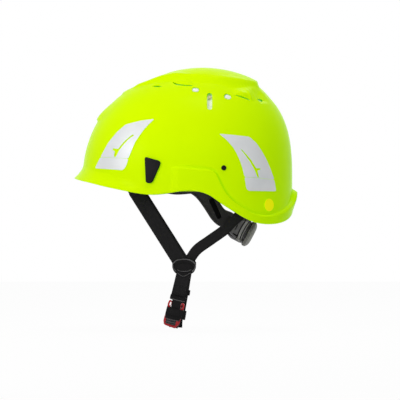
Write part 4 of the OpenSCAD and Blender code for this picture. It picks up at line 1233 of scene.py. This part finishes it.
def on_cover(obj, mat):
    """Bends a flat piece of the cover round the cradle and paints it."""
    return painted(wrap(obj, HOUSING_SPLIT + 0.3, True, 3), mat)


def band_face(name, low, high, sign):
    """A raised band between two circles round the dial."""
    return cushion(name, arc_strip(low, high, 12.2, sign), 2.7, 3.25, 0.25)


on_cover(cover, cover_mat)
# Black floors in the slits and grooves are painted shade.
dark_parts = [on_cover(prism("slit_shade", w, 0.8, 1.35), shade_mat) for w in slits]
dark_parts += [on_cover(prism("groove_shade", arc_strip(r - w, r + w, 13.4, sign), 1.6, 2.3), shade_mat)
               for r, w in GROOVES for sign in (1, -1)]
ring_mat = moulded("cover_ring_nylon", (0.17, 0.165, 0.16), (0.26, 0.255, 0.25), (0.34, 0.48), 900.0,
                   level=0.3)
faces = [on_cover(band_face("ring_face", 26.4, 33.4, sign), ring_mat) for sign in (1, -1)]
faces += [on_cover(band_face("inner_face", 16.4, 21.6, sign), ring_mat) for sign in (1, -1)]
faces += [on_cover(cushion("lump", rounded([(sign * 14, -14.9), (sign * 26, -14.3), (sign * 35, -12.5),
                                            (sign * 35, -11.8), (sign * 14, -12.0)], 1.2, 4), 2.6, 3.7, 0.5),
                   ring_mat) for sign in (1, -1)]


def spun(name, profile, cols, shape=None):
    """A profile of (radius, height) turned about the dial's axis, in the cradle's frame."""
    def place(u, v):
        i = round(v * (len(profile) - 1))
        r, y = profile[i]
        t = 2 * math.pi * u
        if shape:
            r, y = shape(r, y, t, i)
        return to_nape((r * math.cos(t), y, r * math.sin(t)))
    return flat_shade(grid_solid(name, cols, len(profile) - 1, place), 40)


BOSS_Y = COVER_OUT + 1.0
boss = spun("boss", [(4.2, BOSS_Y - 6), (15.2, BOSS_Y - 6), (15.2, BOSS_Y - 0.6), (14.6, BOSS_Y),
                     (4.2, BOSS_Y)], 96)
painted(boss, cover_mat)
cover_all = joined("nape_cover", cover, boss, *dark_parts, *faces)
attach(cover_all, "nape_cradle")
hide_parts("nape_cover")


def nape_seat(u, v, lift):
    t = math.radians(mix(30, -30, u))
    r = HOUSING_IN - 0.3 - lift
    return to_nape((r * math.sin(t), r * math.cos(t), mix(-10, 10, v)))


nape_pad = pad("nape_pad", nape_seat, 70, 20, (0.33, 0.67), 4.5, pad_mat)
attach(nape_pad, "nape_cradle")
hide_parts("nape_pad")
steel_mat, node, link, shader = new_material("zinc_steel")
brushed = noise(node, link, 500, 3, 0.6, (1, 1, 6))
link(ramp(node, link, brushed, [(0.3, (0.42, 0.42, 0.43)), (0.7, (0.60, 0.60, 0.61))]),
     shader.inputs["Base Color"])
shader.inputs["Metallic"].default_value = 1.0
link(span(node, link, brushed, 0.28, 0.42), shader.inputs["Roughness"])
bump(node, link, shader, brushed, 0.00002, 0.5)
gear_mat = moulded("gear_acetal", (0.30, 0.30, 0.31), (0.38, 0.38, 0.39), (0.35, 0.5))
dress("click_ring", steel_mat)
dress("pinion", gear_mat)
dress("rack_left", gear_mat)
dress("rack_right", gear_mat)
dress("dial_screw", steel_mat, 0.2)

# ---- Adjusting dial ----
# A grey knob with a crossed grip all round, screwed to the pinion. Turning it draws both arms in.
DIAL_Y, DIAL_T = COVER_OUT + 1.9, 9.0
knob_mat = moulded("knob_rubber", (0.20, 0.197, 0.185), (0.31, 0.305, 0.29), (0.42, 0.58), 800.0, level=0.3)
KNOB = [(4.1, DIAL_Y), (15.2, DIAL_Y), (16.2, DIAL_Y + 0.4)]
KNOB += [(16.6, mix(DIAL_Y + 0.9, DIAL_Y + 4.3, k / 16)) for k in range(17)]
KNOB += [(16.2, DIAL_Y + 5.1), (15.5, DIAL_Y + 5.9), (14.5, DIAL_Y + 6.7), (13.2, DIAL_Y + 7.4),
         (11.4, DIAL_Y + 8.0),
         (9.6, DIAL_Y + 8.4), (9.2, DIAL_Y + 7.9), (8.0, DIAL_Y + 7.9), (7.4, DIAL_Y + DIAL_T - 0.5),
         (4.2, DIAL_Y + DIAL_T - 0.4), (3.3, DIAL_Y + DIAL_T - 0.6),
         (3.3, DIAL_Y + DIAL_T - 3.7), (1.6, DIAL_Y + DIAL_T - 3.9), (1.6, DIAL_Y + DIAL_T - 4.0),
         (4.1, DIAL_Y + DIAL_T - 4.1)]


def knurled(r, y, t, row):
    """Crossed grooves make a diamond grip on the knob's wall."""
    if 3 <= row < 20:
        phase = (row - 3) / 16 * math.pi * 4
        r += 0.6 * (abs(math.sin(20 * t + phase)) * abs(math.sin(20 * t - phase))) ** 0.8
    return r, y


collar = spun("collar", [(4.2, DIAL_Y - 0.65), (15.2, DIAL_Y - 0.65), (15.7, DIAL_Y - 0.3),
                         (15.7, DIAL_Y + 0.6),
                         (4.2, DIAL_Y + 0.6)], 96)
knob = joined("dial_knob", painted(spun("grip", KNOB, 352, knurled), knob_mat), painted(collar, black_mat))
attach(knob, "dial")
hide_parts("dial_knob")

# ---- Strap anchors ----
# Black nylon tabs in the foam's edge that hold the upper ends of the four straps. A steel rivet goes
# through each tab and the webbing in it.
def anchor_tab(x, y, z, ahead, width):
    """A tab square to its strap, whose direction in the side view is ahead."""
    way = Vector(ahead).normalized()
    across = Vector((-way.y, way.x))
    corners = [Vector((y, z)) + across * a * width / 2 + way * b * 6.5
               for a, b in ((-1, -1), (1, -1), (1, 1), (-1, 1))]
    return cushion("tab", rounded([tuple(c) for c in corners], 2.0, 4), x - 2.2, x + 2.2, 0.6)


tabs = [anchor_tab(70.6, -62.3, -32.2, (54.3, -86.0), 17.6),
        anchor_tab(65.0, 74.4, -58.2, (-7.7, -8.2), 11.6)]
tabs += [other_side(tab, "tab_right") for tab in tabs]
anchors = flat_shade(painted(joined("strap_anchors_finish", *tabs), black_mat), 45)
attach(anchors, "helmet")
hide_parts("strap_anchors")
dress("anchor_rivets", steel_mat, 0.2)

# ---- Upper straps ----
# Woven polyester webbing, 1.6 mm thick: 19 mm wide in front of the ears, 12.4 mm wide behind them.
# Fine twill ribs run across the faces, the edges are bound and painted darker as shade, and the ends
# are sewn in black thread.
STRAP_X = NAPE_R - 5.5
WEB_W, REAR_WEB_W, WEB_T = 19.0, 12.4, 1.6
FRONT_STRAP = [(STRAP_X + 1.4, -62.3, -32.2), (STRAP_X + 0.5, -3.7, -125.0)]
REAR_STRAP = [(STRAP_X - 4.5, 74.4, -58.2), (STRAP_X - 4, 66.7, -66.4), (STRAP_X - 3.5, 59, -73.1),
              (STRAP_X - 2.5, 49.8, -82.7), (STRAP_X - 1.6, 31.7, -95.6), (STRAP_X - 1.1, 15.4, -107.4),
              (STRAP_X - 1.1, 6.4, -119.6)]

twill_group, node, link, start, end = shader_group(
    "twill_weave", [("Ribs", 1100.0), ("Width", 0.019)], ["Height", "Thread", "EdgeShade"])
chart = node("ShaderNodeUVMap")
chart.uv_map = "surface"
apart = node("ShaderNodeSeparateXYZ")
link(chart.outputs["UV"], apart.inputs[0])


def sum_node(how, a, b):
    """One arithmetic node of the weave; a and b are sockets or numbers."""
    step = node("ShaderNodeMath")
    step.operation = how
    for socket, value in zip(step.inputs, (a, b)):
        if isinstance(value, (int, float)):
            socket.default_value = value
        else:
            link(value, socket)
    return step.outputs[0]


zigzag = sum_node("PINGPONG", apart.outputs["Y"], 0.0024)
slant = sum_node("MULTIPLY", sum_node("ADD", apart.outputs["X"], zigzag), start.outputs["Ribs"])
rib = sum_node("SINE", sum_node("MULTIPLY", slant, 2 * math.pi), 0)
warp = sum_node("SINE", sum_node("MULTIPLY", apart.outputs["Y"], 2 * math.pi * 1450), 0)
link(sum_node("ADD", sum_node("MULTIPLY", rib, 0.5), sum_node("MULTIPLY", warp, 0.25)), end.inputs["Height"])
loose = node("ShaderNodeTexNoise")
loose.inputs["Scale"].default_value = 260
loose.inputs["Detail"].default_value = 4
where = node("ShaderNodeTexCoord")
link(where.outputs["Object"], loose.inputs["Vector"])
link(sum_node("ADD", sum_node("MULTIPLY", rib, 0.12), loose.outputs["Fac"]), end.inputs["Thread"])
# A darker band along each edge of the webbing is painted shade.
off_edge = sum_node("PINGPONG", apart.outputs["Y"], start.outputs["Width"])
link(sum_node("LESS_THAN", off_edge, 0.0022), end.inputs["EdgeShade"])


def webbing_cloth(name, dark, light, width):
    """Twill webbing whose edge bands are painted darker as shade."""
    mat, node, link, shader = new_material(name)
    weave = place_group(node, twill_group, Width=width * MM)
    mixed = node("ShaderNodeMix")
    mixed.data_type = "RGBA"
    link(weave["EdgeShade"], mixed.inputs[0])
    link(ramp(node, link, weave["Thread"], [(0.36, dark), (0.66, light)]), mixed.inputs[6])
    link(ramp(node, link, weave["Thread"], [(0.3, tuple(0.4 * c for c in dark)),
                                            (0.8, tuple(0.35 * c for c in light))]), mixed.inputs[7])
    link(mixed.outputs[2], shader.inputs["Base Color"])
    link(span(node, link, weave["Thread"], 0.62, 0.85), shader.inputs["Roughness"])
    shader.inputs["Specular IOR Level"].default_value = 0.18
    shader.inputs["Sheen Weight"].default_value = 0.04
    shader.inputs["Sheen Roughness"].default_value = 0.4
    bump(node, link, shader, weave["Height"], 0.00012, 0.8)
    return mat


web_mat = webbing_cloth("webbing", (0.0038, 0.0035, 0.004), (0.0105, 0.0098, 0.0105), WEB_W)
rear_web_mat = webbing_cloth("narrow_webbing", (0.0038, 0.0035, 0.004), (0.0105, 0.0098, 0.0105), REAR_WEB_W)
thread_mat = moulded("black_thread", (0.007, 0.0066, 0.007), (0.018, 0.0172, 0.018), (0.55, 0.7), 2500.0)


def web_frames(path, edge=None):
    """Along a strap's middle line: each point with its direction, its width and its thickness."""
    path = [Vector(p) for p in path]
    frames = []
    for i, p in enumerate(path):
        way = (path[min(i + 1, len(path) - 1)] - path[max(i - 1, 0)]).normalized()
        wide = way.cross(Vector((1, 0, 0))) if edge is None else Vector(edge) - way * way.dot(Vector(edge))
        wide.normalize()
        frames.append((p, way, wide, way.cross(wide)))
    return frames


def stretch(path, step=1.6):
    """Points about a step apart along a strap, eased through the ones given."""
    longest = max((Vector(b) - Vector(a)).length for a, b in zip(path, path[1:]))
    return line_up(path, max(2, int(longest / step)))


def strap(name, path, width, mat, edge=None, thickness=WEB_T):
    """A closed ribbon of webbing with round edges along a path in mm."""
    frames = web_frames(path, edge)
    length = sum((b[0] - a[0]).length for a, b in zip(frames, frames[1:]))
    flat, half = width / 2 - thickness / 2, thickness / 2
    around = 4 * flat + 2 * math.pi * half

    def section(v):
        s = v * around
        if s < 2 * flat:
            return s - flat, half
        s -= 2 * flat
        if s < math.pi * half:
            return flat + half * math.sin(s / half), half * math.cos(s / half)
        s -= math.pi * half
        if s < 2 * flat:
            return flat - s, -half
        s -= 2 * flat
        return -flat - half * math.sin(s / half), -half * math.cos(s / half)

    def place(u, v):
        p, _, wide, thick = frames[round(u * (len(frames) - 1))]
        a, b = section(v)
        return p + wide * a + thick * b

    ribbon = grid_solid(name, len(frames) - 1, max(24, round(around / 0.7)), place,
                        (length * MM, around * MM), ring=True)
    return flat_shade(painted(ribbon, mat), 50)


def stitch_row(name, a, b, out, pitch=2.6, size=0.28):
    """A row of lock stitches from a to b: short threads that dip at both ends, on one face."""
    a, b, out = Vector(a), Vector(b), Vector(out)
    count = max(1, round((b - a).length / pitch))
    threads = []
    for k in range(count):
        low, high = a.lerp(b, (k + 0.1) / count), a.lerp(b, (k + 0.9) / count)
        line = [low - out * 0.25, low.lerp(high, 0.2) + out * 0.1, low.lerp(high, 0.5) + out * 0.16,
                low.lerp(high, 0.8) + out * 0.1, high - out * 0.25]
        threads.append(tube("thread", line, size, 6))
    return painted(joined(name, *threads), thread_mat)


def sewn(name, frames, start, finish, width, faces=(1, -1), cross=True):
    """A sewn box with a cross between two places along a strap, counted in frames."""
    rows = []
    inset = width / 2 - 2.2
    (p, _, w0, t0), (q, _, w1, t1) = frames[start], frames[finish]
    for face in faces:
        lift0, lift1 = t0 * face * WEB_T / 2, t1 * face * WEB_T / 2
        corners = [p - w0 * inset + lift0, p + w0 * inset + lift0,
                   q + w1 * inset + lift1, q - w1 * inset + lift1]
        lines = [(0, 1), (1, 2), (2, 3), (3, 0)] + ([(0, 2), (1, 3)] if cross else [])
        rows += [stitch_row("row", corners[i], corners[j], t0 * face) for i, j in lines]
    return painted(joined(name, *rows), thread_mat)


def fix_strap(obj, node_name, body="helmet"):
    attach(obj, body)
    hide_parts(node_name)


front_line = [Vector(FRONT_STRAP[0]).lerp(Vector(FRONT_STRAP[1]), k / 64) for k in range(65)]
rear_line = stretch(REAR_STRAP, 2.0)
for kind, line, width, mat, box in (("front", front_line, WEB_W, web_mat, (10, 18)),
                                    ("rear", rear_line, REAR_WEB_W, rear_web_mat, (9, 15))):
    ribbon = strap("upper_strap", line, width, mat)
    seam = sewn("seam", web_frames(line), *box, width)
    left = flat_shade(joined("strap_" + kind + "_left", ribbon, seam), 50)
    right = flat_shade(other_side(left, "strap_" + kind + "_right"), 50)
    fix_strap(left, "strap_" + kind + "_left")
    fix_strap(right, "strap_" + kind + "_right")

# ---- Strap dividers ----
# Black nylon dividers under the ears, moulded in one piece. The two upper straps go in at the top and
# one strap leaves below; a tongue on the outside clamps the webbing inside a raised rim.
DIVIDER = (STRAP_X, -0.9, -127.7)


def moved(obj, place):
    """Moves every point of a piece made round the origin by place(point in mm)."""
    for vert in obj.data.vertices:
        vert.co = place(vert.co / MM) * MM
    obj.data.update()
    return obj


tongue = cushion("tongue", rounded([(-9.6, -3.4), (-7.6, 2.6), (-2.4, 4.6), (6.8, 3.6), (11.0, 0.2),
                                    (9.6, -3.2),
                                    (5.4, -5.8), (-5.2, -5.8)], 2.2, 4), 2.0, 3.5, 0.7)
lip = cushion("lip", rounded([(-9.4, -7.6), (-1.0, -13.0), (9.0, -7.6), (7.0, -6.6), (-7.6, -6.6)], 1.4, 4),
              1.2, 2.5, 0.5)
rim_top = tube("rim_top", line_up([(2.2, -14.6, 2.6), (2.4, -9.8, 7.2), (2.5, -3.2, 8.7), (2.5, 4.4, 8.6),
                                   (2.4, 10.6, 6.2), (2.2, 14.4, 2.2)], 8), 0.85, 10)
rim_ends = [tube("rim_end", line_up([(2.2, s * 14.4, 2.4), (2.4, s * 13.6, -2.2), (2.3, s * 10.4, -6.4)], 8),
                 0.7, 10)
            for s in (-1, 1)]
tongue_edge = tube("tongue_edge", line_up([(3.1, -8.4, -4.2), (3.2, -4.6, -5.9), (3.2, 4.6, -5.9),
                                           (3.1, 8.8, -3.8)], 8),
                   0.4, 8)
lip_edge = tube("lip_edge", line_up([(2.2, -8.6, -8.1), (2.3, -1.0, -12.4), (2.2, 8.2, -8.1)], 8), 0.35, 8)
plain = [painted(piece, black_mat) for piece in (tongue, lip)]
# The rim and the lower edges of the tongue and lip are pale grey: painted highlights.
bright = [painted(piece, highlight_mat) for piece in (rim_top, *rim_ends, tongue_edge, lip_edge)]
details = moved(joined("divider_details", *plain, *bright), lambda p: p + Vector(DIVIDER))
flat_shade(details, 45)
for name, obj in (("divider_left", details), ("divider_right", other_side(details, "divider_rim"))):
    flat_shade(obj, 45)
    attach(obj, "helmet")
    dress(name, black_mat, 0.7)

# ---- Lower straps ----
# The same 19 mm webbing from each divider to the buckle on the left and to the adjuster on the right.
LEFT_LOWER = [(STRAP_X, -0.9, -136), (STRAP_X - 2.6, -8.3, -166.8)]
RIGHT_LOWER = [(-STRAP_X, -0.9, -136), (2 - STRAP_X, -5.4, -164), (3.5 - STRAP_X, -9.8, -188.5)]
left_line = [Vector(LEFT_LOWER[0]).lerp(Vector(LEFT_LOWER[1]), k / 18) for k in range(19)]
left_lower = joined("strap_lower_left", strap("lower_strap", left_line, WEB_W, web_mat),
                    sewn("seam", web_frames(left_line), 10, 15, WEB_W, cross=False))
fix_strap(flat_shade(left_lower, 50), "strap_lower_left")
right_line = ([Vector(RIGHT_LOWER[0]).lerp(Vector(RIGHT_LOWER[1]), k / 18) for k in range(18)]
              + [Vector(RIGHT_LOWER[1]).lerp(Vector(RIGHT_LOWER[2]), k / 16) for k in range(17)])
fix_strap(strap("strap_lower_right", right_line, WEB_W, web_mat), "strap_lower_right")

# ---- Buckle ----
# A side-release buckle in two colours: a black acetal socket with a ladder bar above it, and a red
# frame whose two sprung prongs end in finger loops beside the socket's neck.
BUCKLE = Vector((STRAP_X - 2.5, -8.8, -167.7))
BUCKLE_TURN = Matrix.Rotation(math.radians(-14), 3, "X") @ Matrix.Rotation(math.radians(7), 3, "Y")
red_mat = moulded("red_acetal", (0.36, 0.007, 0.013), (0.47, 0.012, 0.02), (0.28, 0.4), 800.0, level=0.3)


def in_buckle(p):
    return BUCKLE + BUCKLE_TURN @ Vector(p)


def buckle_piece(name, mat, *parts, edges=()):
    """Parts of one buckle piece, with any edges in pale grey as painted highlights, turned into its place."""
    finished_parts = [painted(part, mat) for part in parts] + [painted(part, highlight_mat) for part in edges]
    return flat_shade(moved(joined(name, *finished_parts), in_buckle), 40)


dress("buckle_female", black_mat, 0.6)
ladder_rib = tube("rib", line_up([(2.3, -9.4, 2.2), (2.6, -5, 2.6), (2.6, 5, 2.6), (2.3, 9.4, 2.2)], 6),
                  0.55, 8)
# The ladder bar's foot and the hood's lower edge are pale grey tubes: painted highlights.
ladder_foot = tube("foot", line_up([(2.3, -9.4, -1.9), (2.6, -5, -2.2), (2.6, 5, -2.2), (2.3, 9.4, -1.9)], 6),
                   0.5, 8)
throat = cushion("throat", rounded([(-6.0, -15.0), (6.0, -15.0), (7.4, -22.0), (-7.4, -22.0)], 1.4, 4),
                 4.2, 5.0, 0.35)
grip = [tube("grip", [(4.5, -8.6, z), (4.65, 0, z), (4.5, 8.6, z)], 0.32, 8) for z in (-22.9,)]
hood = cushion("hood", rounded([(-9.9, -23.4), (9.3, -23.4), (8.9, -27.4), (5.6, -28.0), (-8.6, -28.0),
                                (-9.8, -27.2)], 1.2, 4),
               2.6, 4.3, 0.6)
hood_edge = tube("hood_edge", line_up([(3.9, -9.4, -27.0), (4.1, -4, -27.6), (4.1, 4, -27.5),
                                       (3.9, 8.6, -27.0)], 6), 0.4, 8)
female = buckle_piece("buckle_rib", black_mat, ladder_rib, throat, hood, *grip,
                      edges=(ladder_foot, hood_edge))
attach(female, "helmet")

FRAME_TOP = -24.4
frame_plate = cushion("frame", rounded([(-10.9, FRAME_TOP), (10.0, FRAME_TOP), (9.5, -31.8), (5.9, -38.1),
                                        (-8.5, -36.6),
                                        (-10.9, -32.0)], 1.6, 4), -2.5, 2.5, 0.9, 4)
window = prism("window", rounded([(-8.0, -28.0), (5.0, -28.0), (5.0, -34.9), (-8.0, -34.4)], 1, 4), -4, 4)
cut(frame_plate, window)
male = buckle_piece("buckle_male", red_mat, frame_plate)
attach(male, "buckle_tongue")
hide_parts("buckle_male")
# The ladder bars in the window are pale grey as painted highlights.
ladder = [tube("bar", [(0.6, -8.3, z), (0.6, 5.3, z)], r, 12)
          for z, r in ((-28.9, 0.9), (-31.4, 1.2), (-33.9, 0.9))]
webs = [cushion("web", rounded([(-8.3, -34.8), (5.3, -34.8), (5.3, -28.0), (-8.3, -28.0)], 0.4, 2),
                -0.6, 0.5, 0.2)]
ladder_bars = buckle_piece("ladder_bars", black_mat, *webs, edges=ladder)
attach(ladder_bars, "buckle_tongue")

PRONG_IN, PRONG_W, PRONG_T, CATCH_Z = 6.6, 2.2, 4.4, -13.0
for side, name in ((-1, "prong_front"), (1, "prong_back")):
    outer = PRONG_IN + PRONG_W
    arm_outline = [(PRONG_IN, FRAME_TOP - 1.7), (outer, FRAME_TOP - 1.7), (outer, CATCH_Z - 0.6),
                   (outer + 1.4, CATCH_Z - 0.2), (outer + 1.9, CATCH_Z + 3.4), (outer + 1.3, -5.6),
                   (outer - 0.6, -4.4), (PRONG_IN - 0.4, -5.2), (PRONG_IN - 1.0, -8.4),
                   (PRONG_IN, CATCH_Z + 1)]
    arm = cushion("prong", rounded([(side * y, z) for y, z in arm_outline], 0.7, 3),
                  -PRONG_T / 2, PRONG_T / 2, 0.5)
    loop = prism("loop", round_slot((side * (PRONG_IN + 0.7), -7.2), (side * (PRONG_IN + 0.9), -10.6),
                                    1.7, 8), -4, 4)
    cut(arm, loop)
    prong = buckle_piece(name, red_mat, arm)
    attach(prong, name)
    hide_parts(name)

# ---- Chin strap, adjuster and tail ----
# 19 mm webbing from the red frame round under the chin to a black adjuster on the right. Its free end
# hangs below the adjuster, folded over and sewn.
CHIN = [(STRAP_X + x, y, z) for x, y, z in
        [(-10.6, -15.7, -196.4), (-12, -17, -200.6), (-16.5, -17.8, -202.3), (-24, -17.9, -202.8),
         (-44.5, -17.9, -203), (-69.5, -17.9, -203), (-94.5, -17.8, -203), (-115.5, -17, -202.7),
         (-124.5, -16.3, -201.6), (-128.5, -15.2, -199.3), (-130.5, -13.6, -194.5)]]
CHIN_EDGE = (0, math.cos(math.radians(20)), -math.sin(math.radians(20)))
chin = strap("chin_strap", line_up(CHIN, 10), WEB_W, web_mat, CHIN_EDGE)
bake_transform(chin)
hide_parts("chin_strap")
dress("chin_adjuster", black_mat, 0.7)
TAIL = [(-0.7 - STRAP_X, -10.8, -187.5), (0.6 - STRAP_X, -11.9, -199), (2.5 - STRAP_X, -12.2, -204.5),
        (3.5 - STRAP_X, -12.4, -208.5)]
tail_line = line_up(TAIL, 6)
tail = joined("strap_tail", strap("tail", tail_line, WEB_W * 0.9, web_mat),
              sewn("seam", web_frames(tail_line), 10, 16, WEB_W * 0.9, cross=False))
fix_strap(flat_shade(tail, 50), "strap_tail")

# ---- Strap keeper ----
# A black nylon loop that slides on the right lower strap and keeps its free end flat.
dress("strap_keeper", black_mat, 0.6)
